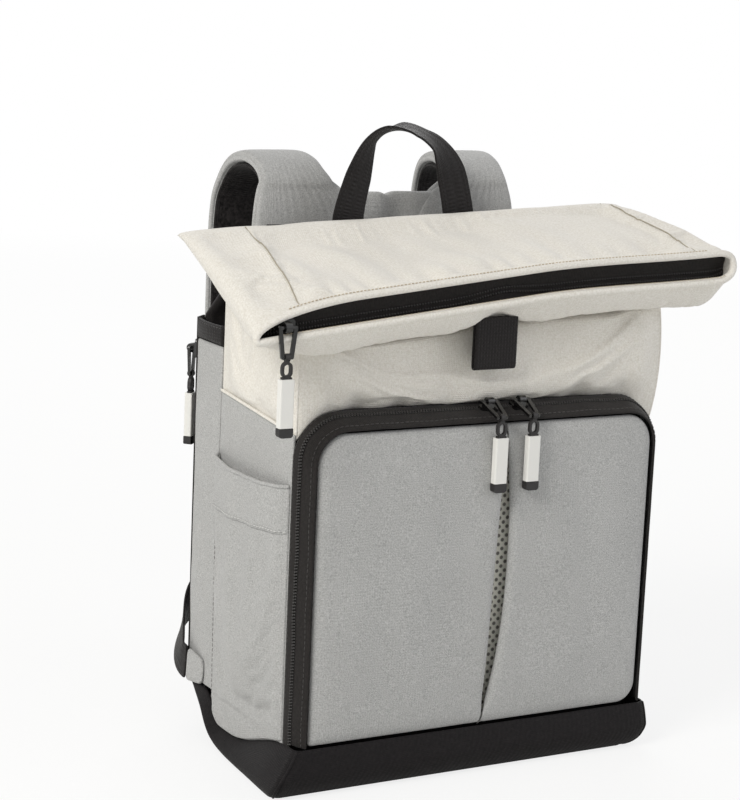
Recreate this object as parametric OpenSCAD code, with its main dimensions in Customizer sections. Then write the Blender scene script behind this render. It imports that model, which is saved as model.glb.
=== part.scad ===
// Fold-over backpack: a grey body on a black base, a zipped front pocket, a cream top that folds
// forward over the body, and a zipped sleeve behind it that carries the straps.
// Millimetres. The front faces -Y, the wearer's side is +Y, Z is up, and the origin lies on the
// flat underside of the base, below the middle of the body.

/* [Body] */
// Width across the side panels
body_w = 272; // [250:1:300]
// Depth of the main compartment
main_d = 108; // [96:1:124]
// Depth of the sleeve behind the main compartment
sleeve_d = 48; // [42:1:60]
// Height of the black base
base_h = 32; // [28:1:38]
// Radius of the base's upright corners at the front
base_r = 18; // [12:1:24]
// Thickness of a padded cloth wall
wall_t = 3; // [2:0.5:4]
// Thickness of the board in the base
board_t = 2.5; // [1.5:0.5:4]
// How far a side panel swells outward
side_swell = 4; // [1:0.5:7]
// Height of the seam under the upper side panel, at its front end
side_seam_front = 233; // [215:1:245]
// Height of the same seam at its back end
side_seam_back = 242; // [220:1:250]

/* [Side pockets] */
// Height of the pocket's mouth
side_pocket_h = 199; // [150:1:210]
// Depth of the hem band at the mouth
hem_d = 31; // [18:1:40]
// Thickness of the pocket cloth
cloth_t = 2; // [1:0.5:3]
// Room between the pocket and the side panel
side_pocket_room = 8; // [7:0.5:12]

/* [Front pocket] */
// Depth of the zip band round the pocket
pocket_d = 20; // [18:1:28]
// Height of the band where it meets the body
pocket_top = 247; // [225:1:265]
// Radius of the band's upper corners
pocket_r = 30; // [22:1:44]
// How far the band draws in at its sides, from the body to the panel
band_in = 7; // [3:0.5:10]
// How far the band drops at its top, from the body to the panel
band_drop = 9; // [5:0.5:12]
// Distance of the zip chain from the body
chain_d = 8; // [7:0.5:12]
// Thickness of the zip tapes
tape_t = 2; // [1.5:0.5:3]
// Thickness of the padded front panel at its edge
panel_t = 8; // [5:0.5:9]
// How far the panel's face swells
panel_swell = 3.5; // [1:0.5:4]
// Greatest width of the slit in the panel
slit_w = 9; // [7:0.5:14]
// Height of the slit's lower end
slit_low = 40; // [38:1:60]
// Height of the slit's upper end
slit_high = 226; // [190:1:228]
// Place of the slit's lower end to the right of the middle
slit_foot_x = 1.6; // [-10:0.1:10]
// Place of the slit's upper end to the right of the middle
slit_head_x = 9.6; // [-10:0.1:12]
// Thickness of the mesh and of the lining behind the panel
lining_t = 1.2; // [0.8:0.2:2]

/* [Fold-over top] */
// Height of the front wall, where the top folds over it
front_h = 300; // [285:1:315]
// How far the upper front wall swells
front_swell = 4; // [1:0.5:7]
// Height of the fold line at the back
fold_h = 352; // [340:1:370]
// Outer radius of the fold
fold_r = 6; // [5:0.5:8]
// Width of the folded top at the fold
fold_w = 344; // [320:1:370]
// Width of the folded top at its mouth
mouth_w = 356; // [330:1:380]
// How far the mouth reaches past the front wall
mouth_reach = 28; // [24:1:40]
// Height of the middle of the mouth
mouth_h = 323; // [318:1:332]
// Height across the two lips of the mouth
mouth_gap = 24; // [22:1:28]
// Depth of the lips in front of the mouth tape
lip_d = 3; // [2:0.5:4]
// How far the upper layer swells
top_swell = 4; // [0:0.5:8]
// Slope of the fold line, higher on the right, in degrees
fold_lean = 2.6; // [0:0.2:4]
// Slope of the mouth, higher on the right, in degrees
mouth_lean = 6; // [0:0.5:7]
// Width of the closure tab
tab_w = 32; // [25:1:40]
// Length of the closure tab
tab_l = 32; // [20:1:36]

/* [Sleeve and back] */
// Height of the sleeve's side gussets
sleeve_h = 271; // [240:1:280]
// Height of the black bands on the gussets
band_h = 14; // [10:1:20]
// Cut across the sleeve's back corners
corner_cut = 8; // [7:0.5:12]
// Height of the divider, where the upper back wall starts
divider_h = 262; // [240:1:280]
// Height of the back panel
back_h = 350; // [335:1:360]
// Forward lean of the back panel's top edge
back_lean = 16; // [8:1:18]
// Thickness of the back pads
pad_t = 13; // [8:1:16]
// Height of the yoke above the back panel
yoke_rise = 21; // [12:1:30]
// Thickness of the yoke
yoke_t = 8; // [6:0.5:10]

/* [Straps and handle] */
// Width of a shoulder strap at the yoke
strap_w = 52; // [44:1:60]
// Width of a shoulder strap at its lower end
strap_end_w = 36; // [32:1:44]
// Thickness of the strap pad
strap_t = 9; // [6:0.5:11]
// Thickness of the mesh lining of a strap
mesh_t = 2.6; // [1.5:0.1:4]
// Width of the lower webbing and of the handle
web_w = 25; // [20:1:28]
// Thickness of the webbing
web_t = 1.8; // [1.2:0.1:2.4]
// Height of the ladder lock's lower bar
lock_h = 110; // [95:1:130]
// Distance from the middle to each leg of the handle
handle_x = 44; // [38:1:50]
// Height of the handle above its patches
handle_rise = 73; // [60:1:85]

/* [Zip sliders] */
// Length of a slider along its chain
slider_l = 13; // [11:0.5:15]
// Width of a slider
slider_w = 9.5; // [8.5:0.5:10.5]
// Length of a bail
bail_l = 18; // [17.5:0.5:22]
// Width of a bail at the slider
bail_w = 13; // [12.5:0.5:16]
// Radius of a bail's bars
bar_r = 1.1; // [0.9:0.1:1.3]
// Width of a pull
pull_w = 9.4; // [8.5:0.1:12]
// Thickness of a pull
pull_t = 5.4; // [5:0.1:6]
// Length of a pull's pale sleeve
pull_l = 30; // [20:1:36]
// Length of a pull's tip
tip_l = 5.7; // [4:0.1:8]
// Place of the left front slider
left_slider_x = 0.5; // [-40:0.5:5]
// Place of the right front slider
right_slider_x = 25; // [20:0.5:60]
// Distance of the mouth slider from the left end of the mouth
mouth_slider_in = 20; // [18:1:160]
// Height of the sleeve slider
sleeve_slider_h = 263; // [180:1:264]

/* [Clearances] */
// Room between pieces that are sewn or laid together
gap = 0.3; // [0.2:0.05:0.5]
// Room round a bail's bars
pin_gap = 0.2; // [0.1:0.05:0.3]

/* [Hidden] */
$fn = 32;

grey = "#a9a7a6";
cream = "#dcd8cc";
black = "#2a2827";
pale = "#e6e5e1";

// Planes of the body
half_w = body_w / 2;
front_y = -(main_d + sleeve_d) / 2;
divider_y = front_y + main_d;
back_y = divider_y + sleeve_d;
panel_y = front_y - pocket_d;
chain_y = front_y - chain_d;
chain_share = chain_d / pocket_d;
chain_z = pocket_top - band_drop * chain_share;
inner_w = half_w - wall_t - gap;
floor_z = wall_t + gap + board_t + gap;

// Lines of the fold-over top
hinge_y = divider_y - fold_r;
mouth_y = front_y - mouth_reach;
mouth_slider_x = mouth_slider_in - mouth_w / 2;
rim_back = fold_h - fold_r - 1;

// Heights and settings of one zip slider above its tape
plate_low = 0.5;
plate_t = 2.6;
axis_h = 6.2;
crown_r = 3;
crown_l = 4.6;
band_slope = atan(band_drop / pocket_d);
ring_r = 3.7;
ring_low = -12.7;

// Straps, as seen from the back: side, distance behind the back panel and share of the height
// from the strap's lower end to the top of the back panel
strap_route = [
    [72, -9.6, 1.1], [72, -8.6, 1.125], [73, 0, 1.16], [75, 13, 1.172], [77, 27, 1.15], [79, 36, 1.1],
    [82, 39, 1], [86, 36, 0.73], [90, 31, 0.41], [92, 28, 0.15], [93, 25, 0]
];
strap_end = strap_route[len(strap_route) - 1];
lock_x = strap_end.x;
lock_back = strap_end.y;
// Lower webbing from the ladder lock down to its tab: side, distance behind the back, and share of
// the lock's height
web_route = [
    [95, 20.5, 0.9], [106, 22, 0.74], [122, 18, 0.6], [134, 8, 0.52], [140, -6, 0.46], [141, -17, 0.42]
];
tab_root = [137.2, -36, 41.5];

function mix(a, b, t) = a + (b - a) * t;
function clamp01(t) = min(max(t, 0), 1);
function swell(t, k) = 1 - pow(abs(2 * t - 1), k);
function unit(v) = v / norm(v);
function sum(v) = v * [for (i = v) 1];
function flat(v) = [for (row = v) each row];
function arc(c, r, a0, a1, n) = [for (i = [0:n]) let (a = mix(a0, a1, i / n)) c + r * [cos(a), sin(a)]];
function volume(p, t) = sum([for (f = t) cross(p[f[0]], p[f[1]]) * p[f[2]]]);
function curve(a, b, c, d, t) =
    (2 * b + (c - a) * t + (2 * a - 5 * b + 4 * c - d) * t ^ 2 + (3 * b - a - 3 * c + d) * t ^ 3) / 2;
function smooth(p, k) = [
    for (i = [0:len(p) - 2], j = [0:k - 1])
        curve(p[max(i - 1, 0)], p[i], p[i + 1], p[min(i + 2, len(p) - 1)], j / k),
    p[len(p) - 1]
];
function tangent(p, i) = unit(p[min(i + 1, len(p) - 1)] - p[max(i - 1, 0)]);

// A closed body from triangles, turned to face outward
module closed_solid(points, triangles) {
    outward = volume(points, triangles) < 0;
    polyhedron(points, [for (f = triangles) outward ? f : [f[2], f[1], f[0]]], convexity = 8);
}

// A body through a stack of rings with the same number of points, whose opposite faces are cut
// along matching diagonals
module loft(rings) {
    n = len(rings[0]);
    last = (len(rings) - 1) * n;
    sides = [
        for (j = [0:len(rings) - 2], i = [0:n - 1])
            let (a = j * n + i, b = j * n + (i + 1) % n)
            each i < n / 2
                ? [[a, b, b + n], [a, b + n, a + n]]
                : [[a, b, a + n], [b, b + n, a + n]]
    ];
    ends = [for (i = [1:n - 2]) each [[0, i + 1, i], [last, last + i, last + i + 1]]];
    closed_solid(flat(rings), concat(sides, ends));
}

// A sheet of cloth between two grids of points
module sheet(front, back) {
    n = len(front[0]);
    m = len(front);
    o = m * n;
    faces = [
        for (r = [0:m - 2], c = [0:n - 2])
            let (a = r * n + c)
            each [
                [a, a + 1, a + n + 1], [a, a + n + 1, a + n],
                [o + a, o + a + n + 1, o + a + 1], [o + a, o + a + n, o + a + n + 1]
            ]
    ];
    long_edges = [
        for (c = [0:n - 2])
            let (b = (m - 1) * n + c)
            each [[c + 1, c, o + c], [c + 1, o + c, o + c + 1], [b, b + 1, o + b + 1], [b, o + b + 1, o + b]]
    ];
    short_edges = [
        for (r = [0:m - 2])
            let (a = r * n, d = r * n + n - 1)
            each [[a, a + n, o + a + n], [a, o + a + n, o + a], [d + n, d, o + d], [d + n, o + d, o + d + n]]
    ];
    closed_solid(concat(flat(front), flat(back)), concat(faces, long_edges, short_edges));
}

// Cloth whose two faces are functions of the share across and the share up
module cloth(front, back, cols, rows) {
    sheet(
        [for (r = [0:rows]) [for (c = [0:cols]) front(c / cols, r / rows)]],
        [for (r = [0:rows]) [for (c = [0:cols]) back(c / cols, r / rows)]]
    );
}

// A strip along a route, with its width, its faces and its flat direction along the route
module ribbon(route, width, low, high, flat_way) {
    last = len(route) - 1;
    edge = (high - low) * 0.3;
    loft([
        for (i = [0:last])
            let (
                way = tangent(route, i),
                lead = flat_way(i / last, way),
                side = unit(lead - (lead * way) * way),
                up = cross(side, way),
                w = width(i / last) / 2
            )
            [
                for (q = [
                    [edge - w, low], [w - edge, low], [w, low + edge], [w, high - edge],
                    [w - edge, high], [edge - w, high], [-w, high - edge], [-w, low + edge]
                ])
                    route[i] + q.x * side + q.y * up
            ]
    ]);
}

// Base: height, swell, draw-in at the back and back corner radius of each level of its outer face
base_levels = [
    [0, -9, 30, 34], [2, -4, 22, 32], [7, 1, 12, 26], [15, 2.5, 4, 18],
    [base_h - 8, 1.5, 1, 12], [base_h, 0, 0, corner_cut]
];
function base_outline(out, back_in, back_r) = let (
    x = half_w + out,
    y0 = panel_y - out,
    y1 = back_y - back_in
) concat(
    arc([x - back_r, y1 - back_r], back_r, 0, 90, 5),
    arc([back_r - x, y1 - back_r], back_r, 90, 180, 5),
    arc([base_r - x, y0 + base_r], base_r, 180, 270, 5),
    arc([x - base_r, y0 + base_r], base_r, 270, 360, 5)
);
function at_height(outline, z) = [for (p = outline) [p.x, p.y, z]];
function base_ring(level, t, z) = at_height(base_outline(level[1] - t, level[2] + t, level[3]), z);
board_level = [0, -12, 36, 34];

module base_pan() {
    color(black)
    difference() {
        loft([for (level = base_levels) base_ring(level, 0, level[0])]);
        loft(concat(
            [base_ring(base_levels[0], 0, wall_t)],
            [for (i = [2:5]) base_ring(base_levels[i], wall_t, base_levels[i][0])],
            [base_ring(base_levels[5], wall_t, base_h + 1)]
        ));
    }
}

module base_board() {
    color(black)
    translate([0, 0, wall_t + gap])
    linear_extrude(board_t)
    polygon(base_outline(board_level[1], board_level[2], board_level[3]));
}

// Heights of the seams and rims of the upper part
function side_seam(y) = mix(side_seam_front, side_seam_back, (y - front_y) / main_d);
function along(y) = clamp01((hinge_y - y) / (hinge_y - mouth_y));
function skew(x, y) = x * tan(mix(fold_lean, mouth_lean, along(y)));
function rim(y) = mix(front_h, rim_back, clamp01((y - front_y) / (hinge_y - front_y)));

module side_panel(s) {
    color(grey)
    cloth(
        function (u, v) side_face(s, u, v, 0),
        function (u, v) side_face(s, u, v, wall_t),
        6, 8
    );
}
function side_face(s, u, v, t) = let (
    y = mix(front_y, divider_y, u),
    z = mix(base_h + gap, side_seam(y), v)
) [s * (half_w + side_out(y, z) - t), y, z];
function side_out(y, z) = side_swell
    * swell((y - front_y) / main_d, 2)
    * swell((z - base_h - gap) / (side_seam(y) - base_h - gap), 2);
module side_panel_left() { side_panel(-1); }
module side_panel_right() { side_panel(1); }

module upper_side(s) {
    color(cream)
    cloth(
        function (u, v) upper_side_face(s, u, v, 0),
        function (u, v) upper_side_face(s, u, v, wall_t),
        6, 6
    );
}
function upper_side_face(s, u, v, t) = let (
    y = mix(front_y, divider_y, u),
    z = mix(side_seam(y) + gap, rim(y) + skew(s * half_w, y), v)
) [s * (half_w + side_swell / 2 * swell(u, 2) * swell(v, 2) - t), y, z];
module upper_side_left() { upper_side(-1); }
module upper_side_right() { upper_side(1); }

module upper_front() {
    color(cream)
    cloth(
        function (u, v) upper_front_face(u, v, 0),
        function (u, v) upper_front_face(u, v, wall_t),
        10, 5
    );
}
function upper_front_face(u, v, t) = let (
    x = mix(-inner_w, inner_w, u),
    z = mix(pocket_top + gap, front_h + skew(x, front_y), v)
) [x, front_y - front_swell * swell(u, 4) * swell(v, 2) + t, z];

// A wall across the body that stands on the base board
module cross_wall(y, top) {
    translate([0, y, 0])
    rotate([90, 0, 0])
    linear_extrude(wall_t)
    polygon([
        [-half_w + 8, floor_z], [half_w - 8, floor_z], [inner_w, floor_z + 10], [inner_w, top],
        [-inner_w, top], [-inner_w, floor_z + 10]
    ]);
}

module pocket_back_wall() {
    color(black) cross_wall(front_y + wall_t, pocket_top);
}

module divider_panel() {
    color(black) cross_wall(divider_y, divider_h);
}

module upper_back() {
    color(cream)
    cloth(
        function (u, v) upper_back_face(u, v, divider_y),
        function (u, v) upper_back_face(u, v, divider_y - wall_t),
        8, 3
    );
}
function upper_back_face(u, v, y) = let (x = mix(-inner_w, inner_w, u))
    [x, y, mix(divider_h + gap, rim_back + skew(x, divider_y), v)];

// Pocket that stands off the side panel, thicker at its hem
module side_pocket(s) {
    color(grey)
    cloth(
        function (u, v) pocket_face(s, u, v, 0),
        function (u, v) pocket_face(s, u, v, v > 1 - hem_d / (side_pocket_h - base_h) ? cloth_t + 0.8 : cloth_t),
        8, 12
    );
}
function pocket_face(s, u, v, t) = let (
    y = mix(front_y + gap, divider_y - gap, u),
    z = mix(base_h + gap, side_pocket_h, v),
    room = gap + side_pocket_room * swell(u, 6) * min(1, v * 6)
) [s * (half_w + side_out(y, z) + room + t), y, z];
module side_pocket_left() { side_pocket(-1); }
module side_pocket_right() { side_pocket(1); }

// Sleeve: plan outlines of its side walls and of the strip across a back corner
corner_slant = sqrt(2);
module sleeve_gusset_left() {
    color(grey)
    translate([-half_w, divider_y + gap, base_h + gap])
    cube([wall_t, sleeve_d - corner_cut - 2 * gap, sleeve_h - base_h - gap]);
}

module sleeve_gusset_right() {
    color(grey)
    translate([0, 0, base_h + gap])
    linear_extrude(sleeve_h - base_h - gap)
    polygon([
        [half_w, divider_y + gap], [half_w, back_y - corner_cut], [half_w - corner_cut, back_y],
        [half_w - corner_cut, back_y - corner_slant * wall_t],
        [half_w - wall_t, back_y - corner_cut - (corner_slant - 1) * wall_t],
        [half_w - wall_t, divider_y + gap]
    ]);
}

module sleeve_bands() {
    color(black)
    for (s = [-1, 1])
        translate([s * (half_w - wall_t / 2), (divider_y + back_y - corner_cut) / 2, sleeve_h + gap + band_h / 2])
        cube([wall_t + 1, sleeve_d - corner_cut - 2 * gap, band_h], center = true);
}

module sleeve_zip_tape() {
    color(black)
    translate([0, 0, base_h + gap])
    linear_extrude(sleeve_h + band_h - base_h)
    polygon([
        [-half_w, back_y - corner_cut], [corner_cut - half_w, back_y],
        [corner_cut - half_w, back_y - corner_slant * tape_t],
        [corner_slant * tape_t - half_w, back_y - corner_cut]
    ]);
}

// Back: upright up to the sleeve's mouth, and leaning forward above it
shoulder = sleeve_h + band_h;
function back_face(z) = back_y - back_lean * clamp01((z - shoulder) / (back_h - shoulder));
shoulder_row = 0.75;
function past_shoulder(z0, z1, v) = v < shoulder_row
    ? mix(z0, shoulder, v / shoulder_row)
    : mix(shoulder, z1, (v - shoulder_row) / (1 - shoulder_row));
function back_edge(z) = half_w - corner_cut - gap - max(z - shoulder, 0) / 2;
module back_panel() {
    low = base_h + gap;
    color(black)
    cloth(
        function (u, v) let (z = past_shoulder(low, back_h, v))
            [mix(-1, 1, u) * back_edge(z), back_face(z), z],
        function (u, v) let (z = past_shoulder(low, back_h, v))
            [mix(-1, 1, u) * back_edge(z), back_face(z) - wall_t, z],
        2, 4
    );
}

// A pad on the back panel, crowned and drawn in to its edges
module back_pad(x0, x1, z0, z1, t) {
    thin = 3;
    function height(v) = z0 < shoulder && shoulder < z1 ? past_shoulder(z0, z1, v) : mix(z0, z1, v);
    cloth(
        function (u, v) [
            mix(x0, x1, u),
            back_face(height(v)) + gap + thin + (t - thin) * swell(u, 4) * swell(v, 8),
            height(v)
        ],
        function (u, v) [mix(x0, x1, u), back_face(height(v)) + gap, height(v)],
        8, 12
    );
}

pad_edge = 24;
pad_x = half_w - pad_edge;
pad_split = 20;
lumbar_h = 38;
pad_lift = 14;
pad_low = base_h + pad_lift;
yoke_lap = 14;
yoke_low = back_h - yoke_lap;
module back_pads() {
    color(black) {
        back_pad(-pad_x, pad_x, pad_low, pad_low + lumbar_h, pad_t);
        for (s = [-1, 1])
            back_pad(
                min(s * pad_x, s * pad_split), max(s * pad_x, s * pad_split),
                pad_low + lumbar_h + 8, yoke_low - 6, pad_t
            );
    }
}

module strap_yoke() {
    x = strap_route[0].x + strap_w / 2 + 4;
    color(grey)
    back_pad(-x, x, yoke_low, back_h + yoke_rise, yoke_t);
}

// Straps: the route is the middle of the pad and its lining together
strap_top = back_h + yoke_rise + 3 * gap;
lock_reach = 19;
strap_low = lock_h + lock_reach;
function strap_z(t) = t < 1.1
    ? mix(strap_low, back_h, t)
    : strap_top + (t - 1.1) * (back_h - lock_h);
strap_points = smooth([for (p = strap_route) [-p.x, back_y + p.y, strap_z(p.z)]], 4);
module strap_layer(low, high) {
    ribbon(
        strap_points,
        function (t) mix(strap_w, strap_end_w, t),
        low, high,
        function (t, way) [1, 0, 0]
    );
}
strap_mid = (strap_t + 2 * gap + mesh_t) / 2;
module strap_pad_left() { color(grey) strap_layer(strap_mid - strap_t, strap_mid); }
module strap_pad_right() { mirror([1, 0, 0]) strap_pad_left(); }
module strap_mesh_left() { color(black) strap_layer(-strap_mid, mesh_t - strap_mid); }
module strap_mesh_right() { mirror([1, 0, 0]) strap_mesh_left(); }

// Ladder lock: side rails, a round lower bar for the webbing, and two upper bars
lock_bar_r = 2.2;
lock_t = 4;
lock_rail = 3.5;
lock_slot = 3.5;
lock_room = 1.5;
slot_w = web_w + 2;
lock_w = slot_w + 2 * lock_rail;
lock_rise = lock_reach - lock_room;
module ladder_lock(s) {
    color(black)
    translate([s * lock_x, back_y + lock_back, lock_h]) {
        rotate([90, 0, 0])
        linear_extrude(lock_t, center = true)
        difference() {
            translate([-lock_w / 2, -1])
            square([lock_w, lock_rise + 1]);
            translate([-slot_w / 2, -2])
            square([slot_w, lock_rise - 2 * lock_slot - lock_t + 1]);
            translate([-slot_w / 2, lock_rise - 2 * lock_slot])
            square([slot_w, lock_slot]);
        }
        rotate([0, 90, 0])
        cylinder(h = lock_w - 2, r = lock_bar_r, center = true);
    }
}
module ladder_lock_left() { ladder_lock(-1); }
module ladder_lock_right() { ladder_lock(1); }

// Lower webbing: a short tail, a turn over the lock's bar, and the run down to the tab
turn_r = lock_bar_r + gap + web_t / 2;
web_tail = 48;
function web_points(s) = concat(
    [
        for (t = [1:-0.25:0.25])
            [s * lock_x, back_y + lock_back + turn_r, lock_h - web_tail * t]
    ],
    [
        for (a = [0:30:180])
            [s * lock_x, back_y + lock_back + turn_r * cos(a), lock_h + turn_r * sin(a)]
    ],
    smooth([for (p = web_route) [s * p.x, back_y + p.y, p.z * lock_h]], 3)
);
function web_flat(s, t) = let (turn = clamp01((t - 0.55) / 0.3)) [s * (1 - turn), 0.6 * turn, 0.8 * turn];
module strap_web(s) {
    color(black)
    ribbon(web_points(s), function (t) web_w, -web_t / 2, web_t / 2, function (t, way) web_flat(s, t));
}
module strap_web_left() { strap_web(-1); }
module strap_web_right() { strap_web(1); }

web_end = web_route[len(web_route) - 1];
module strap_tabs() {
    color(grey)
    for (s = [-1, 1]) {
        top = [s * web_end.x, back_y + web_end.y, web_end.z * lock_h];
        root = [s * tab_root.x, back_y + tab_root.y, tab_root.z];
        start = top + unit(root - top) * (gap + web_t);
        ribbon(
            [start, mix(start, root, 0.5), root],
            function (t) mix(web_w, web_w * 0.7, t),
            -web_t / 2, web_t / 2,
            function (t, way) [0, way.z, -way.y]
        );
    }
}

// Handle: a webbing loop that twists between its two flat legs
handle_y = divider_y + gap + web_t;
handle_z = fold_h - 5;
handle_tilt = 0.2;
patch_l = 28;
module handle_patches() {
    color(black)
    for (s = [-1, 1])
        translate([s * handle_x, divider_y + gap + web_t / 2, handle_z - gap - patch_l / 2])
        cube([web_w, web_t, patch_l], center = true);
}

handle_side = [[1, 0], [0.98, 0.28], [0.82, 0.62], [0.4, 0.94]];
handle_route = concat(
    [for (p = handle_side) [-p.x, p.y]],
    [[0, 1]],
    [for (i = [3:-1:0]) handle_side[i]]
);
function twist(t) = let (turn = clamp01((min(t, 1 - t) - 0.12) / 0.3)) 90 * turn ^ 2 * (3 - 2 * turn);
module haul_handle() {
    route = smooth([
        for (p = handle_route)
            [
                p.x * handle_x, handle_y + handle_tilt * p.y * handle_rise,
                handle_z + 2 * gap + p.y * handle_rise
            ]
    ], 3);
    color(black)
    ribbon(
        route,
        function (t) web_w,
        -web_t / 2, web_t / 2,
        function (t, way) cos(twist(t)) * cross([0, 1, 0], way) + sin(twist(t)) * [0, 1, 0]
    );
}

// Arch of the front pocket, drawn in by a side and a top distance
function arch(side_in, top_in, r) = let (
    x = half_w - side_in - r,
    z = pocket_top - top_in - r
) concat(
    [[-x - r, base_h + gap]],
    arc([-x, z], r, 180, 90, 6),
    arc([x, z], r, 90, 0, 6),
    [[x + r, base_h + gap]]
);
module zip_band(y0, t0, y1, t1) {
    near = arch(band_in * t0, band_drop * t0, pocket_r - band_in * t0);
    far = arch(band_in * t1, band_drop * t1, pocket_r - band_in * t1);
    far_in = arch(band_in * t1 + tape_t, band_drop * t1 + tape_t, pocket_r - band_in * t1 - tape_t);
    near_in = arch(band_in * t0 + tape_t, band_drop * t0 + tape_t, pocket_r - band_in * t0 - tape_t);
    loft([
        for (i = [0:len(near) - 1])
            [
                [near[i].x, y0, near[i].y], [far[i].x, y1, far[i].y],
                [far_in[i].x, y1, far_in[i].y], [near_in[i].x, y0, near_in[i].y]
            ]
    ]);
}
module body_zip_band() {
    color(black) zip_band(front_y - gap, 0, chain_y + gap / 2, chain_share);
}
module panel_zip_band() {
    color(black) translate([0, 0, gap]) zip_band(chain_y - gap / 2, chain_share, panel_y, 1);
}

// Front panel: two padded halves, of which the right one draws back from the slit
panel_in = band_in + tape_t + gap;
panel_top = pocket_top - band_drop - tape_t;
panel_r = pocket_r - panel_in;
panel_low = base_h + 2 * gap;
panel_half = half_w - panel_in;
function corner_in(z) = let (h = z - (panel_top - panel_r))
    h > 0 ? panel_r - sqrt(max(panel_r ^ 2 - h ^ 2, 0)) : 0;
function slit_line(z) = mix(slit_foot_x, slit_head_x, (z - slit_low) / (slit_high - slit_low));
function slit_open(z) = z <= slit_low || z >= slit_high
    ? gap
    : gap + (slit_w - gap) * swell((z - slit_low) / (slit_high - slit_low), 2);
panel_rows = concat(
    [panel_low],
    [for (i = [0:10]) mix(slit_low, panel_top - panel_r, i / 10)],
    [for (a = [22.5:22.5:90]) panel_top - panel_r + panel_r * sin(a)]
);
function panel_face(x, z) = panel_y - panel_swell
    * swell((x / panel_half + 1) / 2, 6)
    * swell((z - panel_low) / (panel_top - panel_low), 6);
module front_panel(s) {
    cols = 7;
    grid = [
        for (z = panel_rows)
            [
                for (c = [0:cols])
                    [mix(slit_line(z) + (s > 0 ? slit_open(z) : 0), s * (panel_half - corner_in(z)), c / cols), z]
            ]
    ];
    color(grey)
    sheet(
        [for (row = grid) [for (p = row) [p.x, panel_face(p.x, p.y), p.y]]],
        [for (row = grid) [for (p = row) [p.x, panel_y + panel_t, p.y]]]
    );
}
module front_panel_left() { front_panel(-1); }
module front_panel_right() { front_panel(1); }

mesh_side = 7;
module vent_mesh() {
    color(grey)
    translate([slit_foot_x - mesh_side, panel_y + panel_t + gap, panel_low])
    cube([slit_head_x - slit_foot_x + slit_w + 2 * mesh_side, lining_t, slit_high + mesh_side - panel_low]);
}

module panel_lining() {
    color(black)
    translate([0, panel_y + panel_t + 2 * gap + 2 * lining_t, gap])
    rotate([90, 0, 0])
    linear_extrude(lining_t)
    polygon(arch(panel_in, band_drop + tape_t + gap, panel_r));
}

// Fold-over top: two layers that meet at the side edges and are flat across the middle
function fold_half(y) = mix(fold_w, mouth_w, along(y)) / 2;
function top_z(y) = mix(fold_h + fold_r, mouth_h + mouth_gap / 2, along(y)) + top_swell * swell(along(y), 2);
function edge_z(y) = mix(fold_h + fold_r - wall_t - 1, mouth_h, along(y));
function under_z(y) = y < front_y
    ? mix(mouth_h - mouth_gap / 2, front_h + 2 * gap, (y - mouth_y) / (front_y - mouth_y))
    : rim(y) + 2 * gap;
function edge_power(y) = mix(4, 10, along(y));
function top_face(u, y, t) = let (x = u * fold_half(y))
    [x, y, mix(top_z(y), edge_z(y) + wall_t + gap / 2, abs(u) ^ 10) - t + skew(x, y)];
function under_face(u, y, t) = let (x = u * fold_half(y))
    [x, y, mix(under_z(y) + wall_t, edge_z(y) - gap / 2, abs(u) ^ edge_power(y)) - t + skew(x, y)];
function fold_face(u, a, r) = let (x = u * fold_w / 2)
    [x, hinge_y + r * cos(a), fold_h + r * sin(a) + skew(x, hinge_y)];
fold_cols = 24;
fold_across = [for (c = [0:fold_cols]) let (t = 2 * c / fold_cols - 1) sign(t) * (1 - (1 - abs(t)) ^ 1.5)];
fold_angles = [20, 50, 80];
top_ys = [for (i = [0:8]) mix(hinge_y - 1, mouth_y, i / 8)];
under_ys = concat(
    [for (i = [0:3]) mix(mouth_y, front_y, i / 3)],
    [for (i = [1:5]) mix(front_y, hinge_y - wall_t, i / 5)]
);

module flap_top() {
    color(cream)
    sheet(
        concat(
            [for (a = fold_angles) [for (u = fold_across) fold_face(u, a, fold_r)]],
            [for (y = top_ys) [for (u = fold_across) top_face(u, y, 0)]]
        ),
        concat(
            [for (a = fold_angles) [for (u = fold_across) fold_face(u, a, fold_r - wall_t)]],
            [for (y = top_ys) [for (u = fold_across) top_face(u, y, wall_t)]]
        )
    );
}

module flap_under() {
    color(cream)
    sheet(
        [for (y = under_ys) [for (u = fold_across) under_face(u, y, 0)]],
        [for (y = under_ys) [for (u = fold_across) under_face(u, y, wall_t)]]
    );
}

tape_end = 0.93;
module flap_zip_tape() {
    y = mouth_y + lip_d;
    color(black)
    cloth(
        function (u, v) mouth_point(u, v, y),
        function (u, v) mouth_point(u, v, y + tape_t),
        16, 2
    );
}
function mouth_point(u, v, y) = let (
    across = tape_end * (2 * u - 1),
    low = under_face(across, y, 0) + [0, 0, gap],
    high = top_face(across, y, wall_t) - [0, 0, gap]
) mix(low, high, v);

// Closure tab: doubled webbing that hangs from the under layer
tab_t = 5;
tab_y = mouth_y + mouth_reach / 2;
tab_z = under_z(tab_y + tab_t / 2) - tab_w / 2 * tan(mouth_lean) - 2 * gap;
module closure_tab() {
    color(black)
    translate([-tab_w / 2, tab_y, tab_z])
    rotate([90, 0, 90])
    linear_extrude(tab_w)
    difference() {
        hull() {
            translate([-tab_t / 2, -tab_t / 2])
            square([tab_t, tab_t / 2]);
            translate([0, tab_t / 2 - tab_l])
            circle(r = tab_t / 2);
        }
        translate([-tab_t / 2 + web_t, tab_t / 2 - tab_l])
        square([tab_t - 2 * web_t, tab_l - tab_t]);
    }
}

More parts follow.
